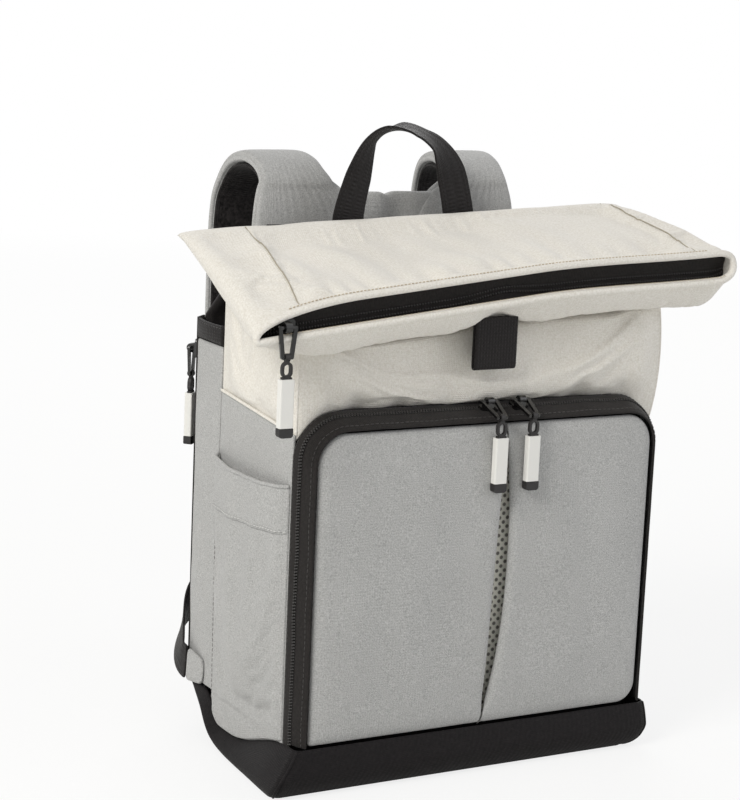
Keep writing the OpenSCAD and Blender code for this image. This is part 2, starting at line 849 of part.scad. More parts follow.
// One zip slider: X along the bail's bars, Z out of the tape, and the pull hangs towards -Y
module slider(turn) {
    color(black) {
        translate([0, 0, plate_low])
        rotate([0, 0, turn])
        linear_extrude(plate_t)
        hull() {
            for (y = [-1, 1])
                translate([-slider_l / 2 + 2, y * (slider_w / 2 - 2)])
                circle(r = 2);
            translate([slider_l / 2 - 3, 0])
            circle(r = 3);
        }
        difference() {
            rotate([90, 0, 90])
            linear_extrude(crown_l, center = true)
            hull() {
                translate([0, axis_h])
                circle(r = crown_r);
                translate([-crown_r - 0.6, plate_low + plate_t / 2])
                square([2 * crown_r + 1.2, plate_t / 2]);
            }
            translate([0, 0, axis_h])
            rotate([0, 90, 0])
            cylinder(h = crown_l + 2, r = bar_r + pin_gap, center = true);
        }
    }
}

eye_l = 3;
arm_r = 1.3;
arm_low = eye_l / 2 + pin_gap + arm_r;
module bail() {
    color(black) {
        for (s = [-1, 1])
            linear_extrude(2 * bar_r - 0.5, center = true)
            hull() {
                translate([s * (bail_w / 2 - arm_r), 0])
                circle(r = arm_r);
                translate([s * arm_low, -bail_l])
                circle(r = arm_r);
            }
        rotate([0, 90, 0])
        cylinder(h = bail_w - 2 * arm_r, r = bar_r, center = true);
        translate([0, -bail_l, 0])
        rotate([0, 90, 0])
        cylinder(h = 2 * arm_low, r = bar_r, center = true);
    }
}

eye_r = bar_r + pin_gap + 1.1;
core_w = pull_w - 2.8;
core_t = pull_t - 2.6;
bar_low = ring_low - 2 * gap - pull_l;
module pull_core() {
    color(black) {
        difference() {
            union() {
                rotate([0, 90, 0])
                cylinder(h = eye_l, r = eye_r, center = true);
                translate([-eye_l / 2, -eye_r - 1.6, -1.1])
                cube([eye_l, eye_r + 1.6, 2.2]);
            }
            rotate([0, 90, 0])
            cylinder(h = eye_l + 2, r = bar_r + pin_gap, center = true);
        }
        linear_extrude(2.4, center = true)
        difference() {
            hull()
                for (y = [ring_low + ring_r, -3.6 - ring_r + 1])
                    translate([0, y])
                    circle(r = ring_r);
            hull()
                for (y = [ring_low + ring_r, -3.6 - ring_r + 1])
                    translate([0, y])
                    circle(r = ring_r - 1.7);
        }
        translate([-core_w / 2, bar_low - gap - 1, -core_t / 2])
        cube([core_w, ring_low - bar_low + gap + 1.6, core_t]);
        translate([0, bar_low - gap, 0])
        linear_extrude(pull_t, center = true)
        hull() {
            translate([-pull_w / 2, -2])
            square([pull_w, 2]);
            for (s = [-1, 1])
                translate([s * (pull_w / 2 - 2), 2 - tip_l])
                circle(r = 2);
        }
    }
}

module pull_bar() {
    color(pale)
    translate([0, bar_low + pull_l, 0])
    rotate([90, 0, 0])
    linear_extrude(pull_l)
    difference() {
        offset(r = 1)
        square([pull_w - 2, pull_t - 2], center = true);
        square([core_w + 2 * gap, core_t + 2 * gap], center = true);
    }
}

// Places of the four sliders on their tapes, and of the pulls that hang straight down from them
function front_axis() = [chain_y - axis_h * sin(band_slope), chain_z + axis_h * cos(band_slope)];
module on_front(x) {
    translate([x, chain_y, chain_z])
    rotate([band_slope, 0, 0])
    children();
}
module off_front(x) {
    translate([
        x, front_axis().x - bail_l * cos(band_slope), front_axis().y - bail_l * sin(band_slope)
    ])
    rotate([90, 0, 0])
    children();
}
module on_mouth() {
    translate([mouth_slider_x, mouth_y + lip_d, mouth_h + skew(mouth_slider_x, mouth_y)])
    rotate([90, 0, 0])
    children();
}
module on_corner() {
    translate([corner_cut / 2 - half_w, back_y - corner_cut / 2, sleeve_slider_h])
    rotate([0, 0, 225])
    rotate([90, 0, 0])
    children();
}
module at_axis() { translate([0, 0, axis_h]) children(); }
module at_eye() { translate([0, -bail_l, axis_h]) children(); }

module slider_front_left() { on_front(left_slider_x) slider(180); }
module bail_front_left() { on_front(left_slider_x) at_axis() bail(); }
module pull_core_front_left() { off_front(left_slider_x) pull_core(); }
module pull_bar_front_left() { off_front(left_slider_x) pull_bar(); }
module slider_front_right() { on_front(right_slider_x) slider(0); }
module bail_front_right() { on_front(right_slider_x) at_axis() bail(); }
module pull_core_front_right() { off_front(right_slider_x) pull_core(); }
module pull_bar_front_right() { off_front(right_slider_x) pull_bar(); }
module slider_mouth() { on_mouth() slider(180); }
module bail_mouth() { on_mouth() at_axis() bail(); }
module pull_core_mouth() { on_mouth() at_eye() pull_core(); }
module pull_bar_mouth() { on_mouth() at_eye() pull_bar(); }
module slider_sleeve() { on_corner() slider(90); }
module bail_sleeve() { on_corner() at_axis() bail(); }
module pull_core_sleeve() { on_corner() at_eye() pull_core(); }
module pull_bar_sleeve() { on_corner() at_eye() pull_bar(); }

base_pan();
base_board();
side_panel_left();
side_panel_right();
upper_side_left();
upper_side_right();
upper_front();
pocket_back_wall();
divider_panel();
upper_back();
side_pocket_left();
side_pocket_right();
sleeve_gusset_left();
sleeve_gusset_right();
sleeve_bands();
sleeve_zip_tape();
back_panel();
back_pads();
strap_yoke();
strap_pad_left();
strap_pad_right();
strap_mesh_left();
strap_mesh_right();
ladder_lock_left();
ladder_lock_right();
strap_web_left();
strap_web_right();
strap_tabs();
handle_patches();
haul_handle();
body_zip_band();
panel_zip_band();
front_panel_left();
front_panel_right();
vent_mesh();
panel_lining();
flap_top();
flap_under();
flap_zip_tape();
closure_tab();
slider_front_left();
bail_front_left();
pull_core_front_left();
pull_bar_front_left();
slider_front_right();
bail_front_right();
pull_core_front_right();
pull_bar_front_right();
slider_mouth();
bail_mouth();
pull_core_mouth();
pull_bar_mouth();
slider_sleeve();
bail_sleeve();
pull_core_sleeve();
pull_bar_sleeve();
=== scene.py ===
import math

import bpy
import numpy as np
from mathutils import Matrix, Vector, noise


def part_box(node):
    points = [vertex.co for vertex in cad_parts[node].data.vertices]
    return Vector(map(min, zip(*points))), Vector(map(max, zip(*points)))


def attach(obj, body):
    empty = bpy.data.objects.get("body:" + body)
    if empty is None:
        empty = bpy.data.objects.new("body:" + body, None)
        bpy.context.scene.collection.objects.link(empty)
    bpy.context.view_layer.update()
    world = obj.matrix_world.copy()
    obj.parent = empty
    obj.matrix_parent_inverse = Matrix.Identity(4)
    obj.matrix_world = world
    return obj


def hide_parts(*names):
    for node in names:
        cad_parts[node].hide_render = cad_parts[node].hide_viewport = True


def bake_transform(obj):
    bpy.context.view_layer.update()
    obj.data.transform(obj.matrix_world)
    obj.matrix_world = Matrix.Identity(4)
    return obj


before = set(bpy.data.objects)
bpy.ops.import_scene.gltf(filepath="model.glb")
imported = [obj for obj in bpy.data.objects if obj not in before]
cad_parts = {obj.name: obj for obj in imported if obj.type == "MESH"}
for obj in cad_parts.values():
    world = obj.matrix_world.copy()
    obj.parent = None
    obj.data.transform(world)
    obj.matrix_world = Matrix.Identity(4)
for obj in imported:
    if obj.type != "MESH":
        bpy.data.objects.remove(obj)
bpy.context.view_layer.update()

# Studio: a camera at the photograph's angle, a wide pale floor, one large soft lamp at the upper
# left, weaker ones at the right and behind, and an even sky.
scene = bpy.context.scene
scene.view_settings.view_transform = "Standard"
photo_height_px = 800
focal_px = 2143
camera_place = Vector((-0.7315, -1.2454, 0.5044))
azimuth, elevation, roll = (math.radians(a) for a in (-29.08, 10.68, 2.5))


def linear(code):
    """The linear colour of an sRGB hex code."""
    rgb = [int(code[i:i + 2], 16) / 255 for i in (1, 3, 5)]
    return [c / 12.92 if c <= 0.04045 else ((c + 0.055) / 1.055) ** 2.4 for c in rgb] + [1]


def add(tree, kind, inputs=None, **settings):
    """A new shader node with its settings, and its inputs set to a value or linked to a socket."""
    node = tree.nodes.new("ShaderNode" + kind)
    for name, value in settings.items():
        setattr(node, name, value)
    for name, value in (inputs or {}).items():
        if isinstance(value, bpy.types.NodeSocket):
            tree.links.new(value, node.inputs[name])
        else:
            node.inputs[name].default_value = value
    return node


def place_camera():
    back = Vector((
        math.sin(azimuth) * math.cos(elevation), -math.cos(azimuth) * math.cos(elevation), math.sin(elevation)
    ))
    right = (-back).cross(Vector((0, 0, 1))).normalized()
    up = right.cross(-back)
    rolled_right = right * math.cos(roll) + up * math.sin(roll)
    rolled_up = up * math.cos(roll) - right * math.sin(roll)
    turn = Matrix((rolled_right, rolled_up, back)).transposed().to_4x4()
    camera = bpy.data.objects.new("camera", bpy.data.cameras.new("camera"))
    camera.data.sensor_width = 36
    camera.data.lens = focal_px * camera.data.sensor_width / photo_height_px
    camera.matrix_world = Matrix.Translation(camera_place) @ turn
    scene.collection.objects.link(camera)
    scene.camera = camera


def place_lamp(name, place, target, size, watts, colour):
    lamp = bpy.data.objects.new(name, bpy.data.lights.new(name, "AREA"))
    lamp.data.size = size
    lamp.data.energy = watts
    lamp.data.color = linear(colour)[:3]
    lamp.location = place
    lamp.rotation_euler = (Vector(target) - Vector(place)).to_track_quat("-Z", "Y").to_euler()
    scene.collection.objects.link(lamp)


place_camera()
place_lamp("key", (-2.0, -0.8, 1.9), (0, 0, 0.2), 1.1, 44, "#FFFDF8")
place_lamp("fill", (1.9, -1.5, 1.0), (0, 0, 0.2), 1.4, 12, "#F8FAFF")
place_lamp("rear", (0.8, 1.7, 1.6), (0, 0, 0.25), 1.4, 16, "#FFFFFF")

scene.world = bpy.data.worlds.new("sky")
scene.world.use_nodes = True
sky = scene.world.node_tree
looked_at = add(sky, "LightPath")
mirrored = add(sky, "Math", {
    0: looked_at.outputs["Is Camera Ray"], 1: looked_at.outputs["Is Glossy Ray"]
}, operation="MAXIMUM")
level_of_sky = add(sky, "MapRange", {"Value": mirrored.outputs[0], "To Min": 0.38, "To Max": 1})
sky.nodes["Background"].inputs["Color"].default_value = linear("#FFFFFF")
sky.links.new(level_of_sky.outputs["Result"], sky.nodes["Background"].inputs["Strength"])

floor_mesh = bpy.data.meshes.new("floor")
floor_size = 400
floor_mesh.from_pydata(
    [(x * floor_size, y * floor_size, 0) for x, y in ((-1, -1), (1, -1), (1, 1), (-1, 1))], [], [(0, 1, 2, 3)]
)
floor = bpy.data.objects.new("floor", floor_mesh)
scene.collection.objects.link(floor)
pale_floor = bpy.data.materials.new("pale_floor")
pale_floor.use_nodes = True
tree = pale_floor.node_tree
tree.nodes["Principled BSDF"].inputs["Base Color"].default_value = linear("#F4F4F2")
tree.nodes["Principled BSDF"].inputs["Roughness"].default_value = 0.9
path = add(tree, "LightPath")
ground = add(tree, "TexCoord")
away = add(tree, "VectorMath", {0: ground.outputs["Object"]}, operation="LENGTH")
pale = add(tree, "MapRange", {
    "Value": away.outputs["Value"], "From Min": 0.5, "From Max": 3.0, "To Min": 0.8, "To Max": 1
})
seen = add(tree, "Math", {0: path.outputs["Is Camera Ray"], 1: pale.outputs["Result"]}, operation="MULTIPLY")
white = add(tree, "Emission", {"Color": linear("#FFFFFF"), "Strength": 1})
mixed = add(tree, "MixShader", {
    0: seen.outputs[0], 1: tree.nodes["Principled BSDF"].outputs[0], 2: white.outputs[0]
})
tree.links.new(mixed.outputs[0], tree.nodes["Material Output"].inputs["Surface"])
floor_mesh.materials.append(pale_floor)

# Base: a shallow boat of coated ballistic weave, sewn at its upright front corners and sagging a
# little to the left. Its upper edge dips along the sides, where the grey cloth reaches lower.
mm = 0.001
half_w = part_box("sleeve_gusset_right")[1].x
front_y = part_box("pocket_back_wall")[0].y
divider_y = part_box("divider_panel")[1].y
back_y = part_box("back_panel")[1].y
panel_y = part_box("panel_zip_band")[0].y
base_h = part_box("base_pan")[1].z
base_lean = {"left": 19 * mm, "right": 6 * mm}
base_dip = 19 * mm
dip_front, dip_back = (-85 * mm, -5 * mm), (12 * mm, 42 * mm)
base_front_r = 7 * mm


def mix(a, b, t):
    return a + (b - a) * t


def clamp(t):
    return min(max(t, 0), 1)


def smooth(low, high, x):
    t = clamp((x - low) / (high - low))
    return t * t * (3 - 2 * t)


def swell(t, power):
    """A hump over t from 0 to 1 that is flatter on top for a higher power."""
    return 1 - abs(2 * t - 1) ** power


def ripple(point, size, height):
    """Smooth folds about size long and height high, the same on every run."""
    return height * noise.noise(Vector(point) / size)


def base_rim(y):
    return base_h - base_dip * smooth(*dip_front, y) * (1 - smooth(*dip_back, y))


def link(name, points, faces):
    mesh = bpy.data.meshes.new(name)
    mesh.from_pydata([tuple(p) for p in points], [], faces)
    mesh.polygons.foreach_set("use_smooth", [True] * len(mesh.polygons))
    obj = bpy.data.objects.new(name, mesh)
    scene.collection.objects.link(obj)
    return obj


def cloth(name, surface, cols, rows, closed=False, capped=False):
    """A sheet of quads over surface(u, v), or a tube with closed ends, whose UVs run in metres along it."""
    n = cols if closed else cols + 1
    points = [Vector(surface(c / cols, r / rows)) for r in range(rows + 1) for c in range(n)]
    faces = [
        (r * n + c, r * n + (c + 1) % n, (r + 1) * n + (c + 1) % n, (r + 1) * n + c)
        for r in range(rows) for c in range(cols)
    ]
    if capped:
        faces += [tuple(reversed(range(n))), tuple(range(rows * n, rows * n + n))]
    obj = link(name, points, faces)
    row, col = rows // 2 * n, n // 2
    width = sum((points[row + (c + 1) % n] - points[row + c]).length for c in range(cols))
    height = sum((points[(r + 1) * n + col] - points[r * n + col]).length for r in range(rows))
    corners = ((0, 0), (1, 0), (1, 1), (0, 1))
    obj.data.uv_layers.new(name="cloth").data.foreach_set("uv", [
        value
        for r in range(rows) for c in range(cols) for i, j in corners
        for value in ((c + i) / cols * width, (r + j) / rows * height)
    ] + [0.0] * (4 * n if capped else 0))
    return obj


def dress(obj, material, body, slot, *nodes, thick=0.0, rounds=1):
    """Gives a piece its material, thickness and rounding, and says what it rides on and replaces."""
    obj.data.materials.append(material)
    if thick:
        shell = obj.modifiers.new("thickness", "SOLIDIFY")
        shell.thickness = thick
        shell.offset = -1
    if rounds:
        rounding = obj.modifiers.new("rounding", "SUBSURF")
        rounding.levels = rounding.render_levels = rounds
    if body:
        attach(obj, body)
    if nodes:
        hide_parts(*nodes)
    return obj


def woven(name, light, dark, thread, speck, contrast, rough, sheen, relief):
    """Woven cloth: yarns of two near shades mixed in specks, over a plain weave of raised threads.
    Threads finer than the camera can see are drawn as coarse as they need to show."""
    material = bpy.data.materials.new(name)
    material.use_nodes = True
    t = material.node_tree
    shader = t.nodes["Principled BSDF"]
    place = add(t, "TexCoord")
    yarn = add(t, "TexNoise", {
        "Vector": place.outputs["Object"], "Scale": 1 / speck, "Detail": 2.5, "Roughness": 0.65
    })
    cloud = add(t, "TexNoise", {"Vector": place.outputs["Object"], "Scale": 1 / (40 * mm), "Detail": 2})
    both = add(t, "MapRange", {
        "Value": yarn.outputs["Fac"], "From Min": 0.5 - contrast, "From Max": 0.5 + contrast
    })
    worn = add(t, "Math", {0: cloud.outputs["Fac"], 1: 0.22, 2: -0.11}, operation="MULTIPLY_ADD")
    share = add(t, "Math", {0: both.outputs["Result"], 1: worn.outputs[0]}, operation="ADD", use_clamp=True)
    colour = add(t, "Mix", {"Factor": share.outputs[0]}, data_type="RGBA")
    colour.inputs[6].default_value = linear(dark)
    colour.inputs[7].default_value = linear(light)
    t.links.new(colour.outputs[2], shader.inputs["Base Color"])
    bands = math.pi / 10 / thread
    warp = add(t, "TexWave", {"Vector": place.outputs["UV"], "Scale": bands}, bands_direction="X")
    weft = add(t, "TexWave", {"Vector": place.outputs["UV"], "Scale": bands}, bands_direction="Y")
    weave = add(t, "Math", {0: warp.outputs["Fac"], 1: weft.outputs["Fac"]}, operation="MULTIPLY")
    height = add(t, "Math", {0: yarn.outputs["Fac"], 1: 0.8, 2: weave.outputs[0]}, operation="MULTIPLY_ADD")
    bump = add(t, "Bump", {"Height": height.outputs[0], "Strength": 0.6, "Distance": relief})
    t.links.new(bump.outputs["Normal"], shader.inputs["Normal"])
    shader.inputs["Roughness"].default_value = rough
    shader.inputs["Specular IOR Level"].default_value = 0.12
    shader.inputs["Sheen Weight"].default_value = sheen
    shader.inputs["Sheen Roughness"].default_value = 0.5
    return material


# Coated ballistic nylon: a tight black weave with a dull gleam.
black_ballistic = woven(
    "black_ballistic_nylon", "#1D1A1B", "#0F0D0E",
    thread=1.5 * mm, speck=2.0 * mm, contrast=0.22, rough=0.62, sheen=0.06, relief=0.25 * mm,
)

base_heights = [0, 2, 7, 15, 24, 32]
base_grow = [-6, -2, 2, 4, 2, 0]
base_back_in = [72, 63, 48, 30, 14, 3]
base_back_r = [40, 38, 34, 28, 18, 9]


def base_plan(share, u):
    """A point of the base's outline at a share of its height, with u once round it."""
    z = share * base_heights[-1]
    grow, back_in, back_r = (
        np.interp(z, base_heights, row) * mm for row in (base_grow, base_back_in, base_back_r)
    )
    x, near, far = half_w + grow, panel_y - grow, back_y - back_in
    corners = [
        (x - back_r, far - back_r, back_r, 0), (back_r - x, far - back_r, back_r, 90),
        (base_front_r - x, near + base_front_r, base_front_r, 180),
        (x - base_front_r, near + base_front_r, base_front_r, 270),
    ]
    step, t = divmod(u * 8 % 8, 1)
    cx, cy, r, start = corners[int(step) // 2]
    if step % 2 == 0:
        angle = math.radians(start + 90 * t)
        return Vector((cx + r * math.cos(angle), cy + r * math.sin(angle)))
    nx, ny, nr, start = corners[(int(step) // 2 + 1) % 4]
    angle = math.radians(start)
    way = Vector((math.cos(angle), math.sin(angle)))
    return Vector((cx, cy)).lerp(Vector((nx, ny)), t) + way * mix(r, nr, t)


def base_surface(u, v):
    p = base_plan(v, u)
    z = v * base_rim(p.y)
    sag = ripple((p.x, p.y, z), 45 * mm, 1.2 * mm) * swell(v, 2)
    out = Vector((p.x, p.y, 0)).normalized() * sag
    lean = mix(base_lean["left"], base_lean["right"], smooth(-half_w, half_w, p.x)) * (1 - v) ** 1.5
    return p.x + out.x - lean * mix(1, 0.3, smooth(panel_y, back_y, p.y)), p.y + out.y, z


base_cols, base_rows = 160, 12
base = cloth("base_boat", base_surface, base_cols, base_rows, closed=True)
base_cap = link(
    "base_floor", [base.data.vertices[i].co for i in range(base_cols)], [tuple(reversed(range(base_cols)))]
)
dress(base, black_ballistic, "bag", "black_base", "base_pan", thick=2.4 * mm)
dress(base_cap, black_ballistic, "bag", "black_base", thick=2.4 * mm, rounds=0)


def tube(name, path, radius, closed=False):
    """A round cord along a path, for piping, bindings and seam ridges."""
    sides = 8
    path = [Vector(p) for p in path]
    n = len(path)
    points, faces, side = [], [], None
    for i, p in enumerate(path):
        ahead = path[(i + 1) % n] if closed else path[min(i + 1, n - 1)]
        behind = path[i - 1] if closed else path[max(i - 1, 0)]
        way = (ahead - behind).normalized()
        if side is None:
            side = way.orthogonal()
        side = (side - way * side.dot(way)).normalized()
        other = way.cross(side)
        r = radius(i / max(n - 1, 1)) if callable(radius) else radius
        points += [
            p + (side * math.cos(a) + other * math.sin(a)) * r
            for a in (2 * math.pi * k / sides for k in range(sides))
        ]
    for i in range(n if closed else n - 1):
        a, b = i * sides, (i + 1) % n * sides
        faces += [(a + k, a + (k + 1) % sides, b + (k + 1) % sides, b + k) for k in range(sides)]
    if not closed:
        faces += [tuple(reversed(range(sides))), tuple(range((n - 1) * sides, n * sides))]
    return link(name, points, faces)


corner_u = {"left": 4.5 / 8, "right": 6.5 / 8}
for side, u in corner_u.items():
    ridge = [Vector(base_surface(u, k / base_rows)) for k in range(base_rows + 1)]
    dress(tube("base_seam_" + side, ridge, 1.1 * mm), black_ballistic, "bag", "black_base")

# Side panels: heather polyester over thin foam, from the base to the seam under the cream top, with
# a slack hem pocket on each side that is sewn in at the zip band and at the sleeve.
seam_front, seam_back = 233 * mm, 242 * mm
side_swell = 4 * mm
pocket_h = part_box("side_pocket_left")[1].z
hem_d = 31 * mm

# Heather polyester: light and dark grey yarns, dry and slightly fuzzy.
grey_heather = woven(
    "grey_heather_polyester", "#C6C6C5", "#9A9A99",
    thread=1.4 * mm, speck=0.85 * mm, contrast=0.2, rough=0.9, sheen=0.25, relief=0.3 * mm,
)


def side_seam(y):
    return mix(seam_front, seam_back, (y - front_y) / (divider_y - front_y))


def side_out(y, z):
    along = clamp((y - front_y) / (divider_y - front_y))
    up = clamp((z - base_h) / (side_seam(y) - base_h))
    slack = ripple((0, y, z), 60 * mm, 1.0 * mm) * swell(along, 4)
    return side_swell * swell(along, 2) * swell(up, 2) + slack


def along_side(s, u, low, high):
    """How far along the side a share of the cloth lies, so that its outer face looks outward."""
    return mix(low, high, u if s > 0 else 1 - u)


def beads(name, surface, line, pitch, size, lift=0.0):
    """Small raised beads in a row along line(t) on a surface, such as the threads of a seam or the
    teeth of a zip. size is half of a bead along the row, across it and above the surface."""
    fine = [Vector(surface(*line(k / 300))) for k in range(301)]
    run = np.cumsum([0] + [(b - a).length for a, b in zip(fine, fine[1:])])
    points, faces = [], []
    for i in range(int(run[-1] / pitch)):
        t = float(np.interp((i + 0.5) * pitch, run, np.linspace(0, 1, 301)))
        u, v = line(t)
        way = Vector(surface(*line(min(t + 0.003, 1)))) - Vector(surface(*line(max(t - 0.003, 0))))
        du = Vector(surface(min(u + 0.004, 1), v)) - Vector(surface(max(u - 0.004, 0), v))
        dv = Vector(surface(u, min(v + 0.004, 1))) - Vector(surface(u, max(v - 0.004, 0)))
        way.normalize()
        up = du.cross(dv).normalized()
        across = up.cross(way)
        here = Vector(surface(u, v)) + up * lift
        first = len(points)
        for step, share in ((-1, 0.55), (0, 1), (1, 0.55)):
            for k in range(6):
                a = math.pi * k / 3
                points.append(
                    here + way * size[0] * step
                    + (across * size[1] * math.cos(a) + up * size[2] * math.sin(a)) * share
                )
        for row in (0, 6):
            faces += [
                tuple(first + row + i for i in (k, (k + 1) % 6, 6 + (k + 1) % 6, 6 + k))
                for k in range(6)
            ]
        faces += [tuple(first + k for k in reversed(range(6))), tuple(first + 12 + k for k in range(6))]
    return link(name, points, faces)


def plain(name, colour, rough, coat=0.0):
    """A smooth material of one colour with a faint unevenness in its gloss."""
    material = bpy.data.materials.new(name)
    material.use_nodes = True
    t = material.node_tree
    shader = t.nodes["Principled BSDF"]
    shader.inputs["Base Color"].default_value = linear(colour)
    place = add(t, "TexCoord")
    uneven = add(t, "TexNoise", {"Vector": place.outputs["Object"], "Scale": 1 / (4 * mm), "Detail": 3})
    gloss = add(t, "MapRange", {"Value": uneven.outputs["Fac"], "To Min": rough * 0.8, "To Max": rough * 1.2})
    t.links.new(gloss.outputs["Result"], shader.inputs["Roughness"])
    shader.inputs["Coat Weight"].default_value = coat
    shader.inputs["Coat Roughness"].default_value = 0.15
    return material


# Sewing thread: grey spun polyester, a shade darker or lighter than the cloth.
grey_thread = plain("grey_thread", "#7E7C7A", 0.7)
pale_thread = plain("pale_grey_thread", "#D2D2D0", 0.7)
thread = (1.3 * mm, 0.35 * mm, 0.3 * mm)
stitch_pitch = 3.6 * mm

fall_frames = 16


def settle(obj, sewn, spare, most, blow=0.0, gathered=()):
    """Lets the cloth of a piece fall into folds of its own. sewn holds each point, from 0, free, to 1,
    stitched down. spare is how much longer the cloth is cut than its outline, twice so where it is
    gathered to 1, and no point moves further than most."""
    for name, weights in (("sewn", sewn), ("gathered", gathered)):
        group = obj.vertex_groups.new(name=name)
        for i, weight in enumerate(weights):
            group.add([i], weight, "REPLACE")
    fall = obj.modifiers.new("fall", "CLOTH")
    fall.settings.quality = 6
    fall.settings.mass = 0.15
    fall.settings.air_damping = 4
    fall.settings.tension_stiffness = fall.settings.compression_stiffness = 15
    fall.settings.shear_stiffness = 6
    fall.settings.bending_stiffness = 0.6
    fall.settings.vertex_group_mass = "sewn"
    fall.settings.vertex_group_shrink = "gathered"
    fall.settings.shrink_min, fall.settings.shrink_max = -spare, -2 * spare
    fall.settings.effector_weights.gravity = 0.4
    fall.settings.use_pressure = blow > 0
    fall.settings.uniform_pressure_force = blow
    fall.collision_settings.use_collision = False
    fall.point_cache.frame_end = fall_frames
    for at in range(1, fall_frames + 1):
        scene.frame_set(at)
    fallen = [v.co.copy() for v in obj.evaluated_get(bpy.context.evaluated_depsgraph_get()).data.vertices]
    obj.modifiers.remove(fall)
    obj.vertex_groups.clear()
    for point, end in zip(obj.data.vertices, fallen):
        move = end - point.co
        point.co += move * min(1, most / max(move.length, 1e-9))
    scene.frame_set(1)


pocket_cols, pocket_rows = 44, 60
hem_low = 1 - hem_d / (pocket_h - base_h)
both_sides = ((-1, "left"), (1, "right"))

for s, side in both_sides:
    def side_surface(u, v):
        y = along_side(s, u, front_y, divider_y)
        z = mix(base_rim(y) - 2 * mm, side_seam(y), v)
        return s * (half_w + side_out(y, z)), y, z

    def pocket_surface(u, v):
        y = along_side(s, u, front_y + 0.5 * mm, divider_y - 0.5 * mm)
        z = mix(base_rim(y) + 0.5 * mm, pocket_h - 3 * mm * swell(u, 2) * smooth(0.8, 1, v), v)
        room = 2.5 * mm + 3.0 * mm * swell(u, 4) * smooth(0.05, 0.5, v)
        folds = ripple((s, y * 1.6, z * 0.5), 24 * mm, 2.2 * mm) * swell(u, 4) * smooth(0, 0.3, v)
        sewn = smooth(0, 0.07, min(u, 1 - u))
        return s * (half_w + side_out(y, z) + 0.5 * mm + (room + folds) * sewn), y, z

    def hem_surface(u, v):
        x, y, z = pocket_surface(u, mix(hem_low, 1, v))
        lift = (0.9 * mm + 0.5 * mm * swell(v, 6)) * smooth(0, 0.05, min(u, 1 - u))
        return x + s * (0.2 * mm + lift), y, z + 0.6 * mm * v

    panel = cloth("side_panel_" + side + "_cloth", side_surface, 40, 60)
    dress(panel, grey_heather, "bag", "heather_grey", "side_panel_" + side, thick=2.5 * mm)
    pocket = cloth("side_pocket_" + side + "_cloth", pocket_surface, pocket_cols, pocket_rows)
    settle(pocket, [
        max(
            1 - smooth(0, 0.1, min(c / pocket_cols, 1 - c / pocket_cols)),
            1 - smooth(0, 0.12, r / pocket_rows), smooth(0.7, hem_low, r / pocket_rows),
        )
        for r in range(pocket_rows + 1) for c in range(pocket_cols + 1)
    ], spare=0.03, most=5 * mm)
    dress(pocket, grey_heather, "bag", "heather_grey", "side_pocket_" + side, thick=1.4 * mm)
    hem = cloth("side_pocket_" + side + "_hem", hem_surface, pocket_cols, 12)
    dress(hem, grey_heather, "bag", "heather_grey", thick=1.2 * mm)
    rolled = [Vector(hem_surface(k / pocket_cols, 1)) for k in range(pocket_cols + 1)]
    roll = tube("side_pocket_" + side + "_roll", rolled, 1.3 * mm)
    dress(roll, grey_heather, "bag", "heather_grey")
    sleeve_end = 0.035 if s < 0 else 0.965
    seam = beads(
        "side_pocket_" + side + "_stitches", pocket_surface, lambda t: (sleeve_end, mix(0.04, 0.97, t)),
        stitch_pitch, thread, 0.5 * mm,
    )
    dress(seam, grey_thread, "bag", "heather_grey", rounds=0)
    hem_seam = beads(
        "side_pocket_" + side + "_hem_stitches", hem_surface, lambda t: (t, 0.07), 3.2 * mm, thread, 0.5 * mm,
    )
    dress(hem_seam, pale_thread, "bag", "heather_grey", rounds=0)

# Cream top: the upper part of the body, one tube of cotton canvas that starts at the seams, leans
# back above the front wall and flattens to the line where it folds over.
hinge_y, fold_h = 24 * mm, 352 * mm
fold_lean, mouth_lean = math.radians(2.6), math.radians(6)
mouth_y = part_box("flap_top")[0].y
front_h = 300 * mm
fold_half, mouth_half, neck_half = 172 * mm, 178 * mm, 160 * mm
arch_r = 30 * mm
pocket_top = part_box("body_zip_band")[1].z

# Cotton canvas: off-white yarns, nearly plain, with a soft dry face.
cream_canvas = woven(
    "cream_cotton_canvas", "#EFECE6", "#DAD5CB",
    thread=1.5 * mm, speck=1.3 * mm, contrast=0.22, rough=0.88, sheen=0.2, relief=0.3 * mm,
)


def forward(y):
    """Share of the way from the fold to the mouth."""
    return clamp((hinge_y - y) / (hinge_y - mouth_y))


def skew(x, y):
    """How far the fold-over rises to the right; its right end droops again."""
    f = forward(y)
    return x * math.tan(mix(fold_lean, mouth_lean, f)) - 8 * mm * f * smooth(20 * mm, 190 * mm, x)


def arch_z(x):
    """Height of the zip band's outer edge on the front wall."""
    over = max(abs(x) - (half_w - arch_r), 0)
    return pocket_top - arch_r + math.sqrt(max(arch_r ** 2 - over ** 2, 0))


neck_h = 350.5 * mm
top_bend, neck_start = 0.5, 0.62
upper_back_low = 262 * mm
top_cols = {"front": 64, "right": 36, "back": 48, "left": 36}
corner_cols = 5
back_wall = 4


def top_ring(v):
    """Corner places of the cream tube at a share of its height: front and back, half width and height."""
    if v < top_bend:
        front = Vector((half_w - 1 * mm, front_y - 0.5 * mm, mix(pocket_top, front_h, v / top_bend)))
    else:
        t = (v - top_bend) / (1 - top_bend)
        shoulder = Vector((half_w - 1 * mm, front_y, front_h))
        front = shoulder.lerp(Vector((neck_half, hinge_y - 8 * mm, 345 * mm)), t)
    back = Vector((half_w - 1 * mm, divider_y + 0.4 * mm, mix(seam_back, neck_h, v)))
    back.x = mix(back.x, neck_half, smooth(neck_start, 1, v))
    front.x = mix(half_w - 1 * mm, neck_half, smooth(0.6, 1, v))
    return front, back


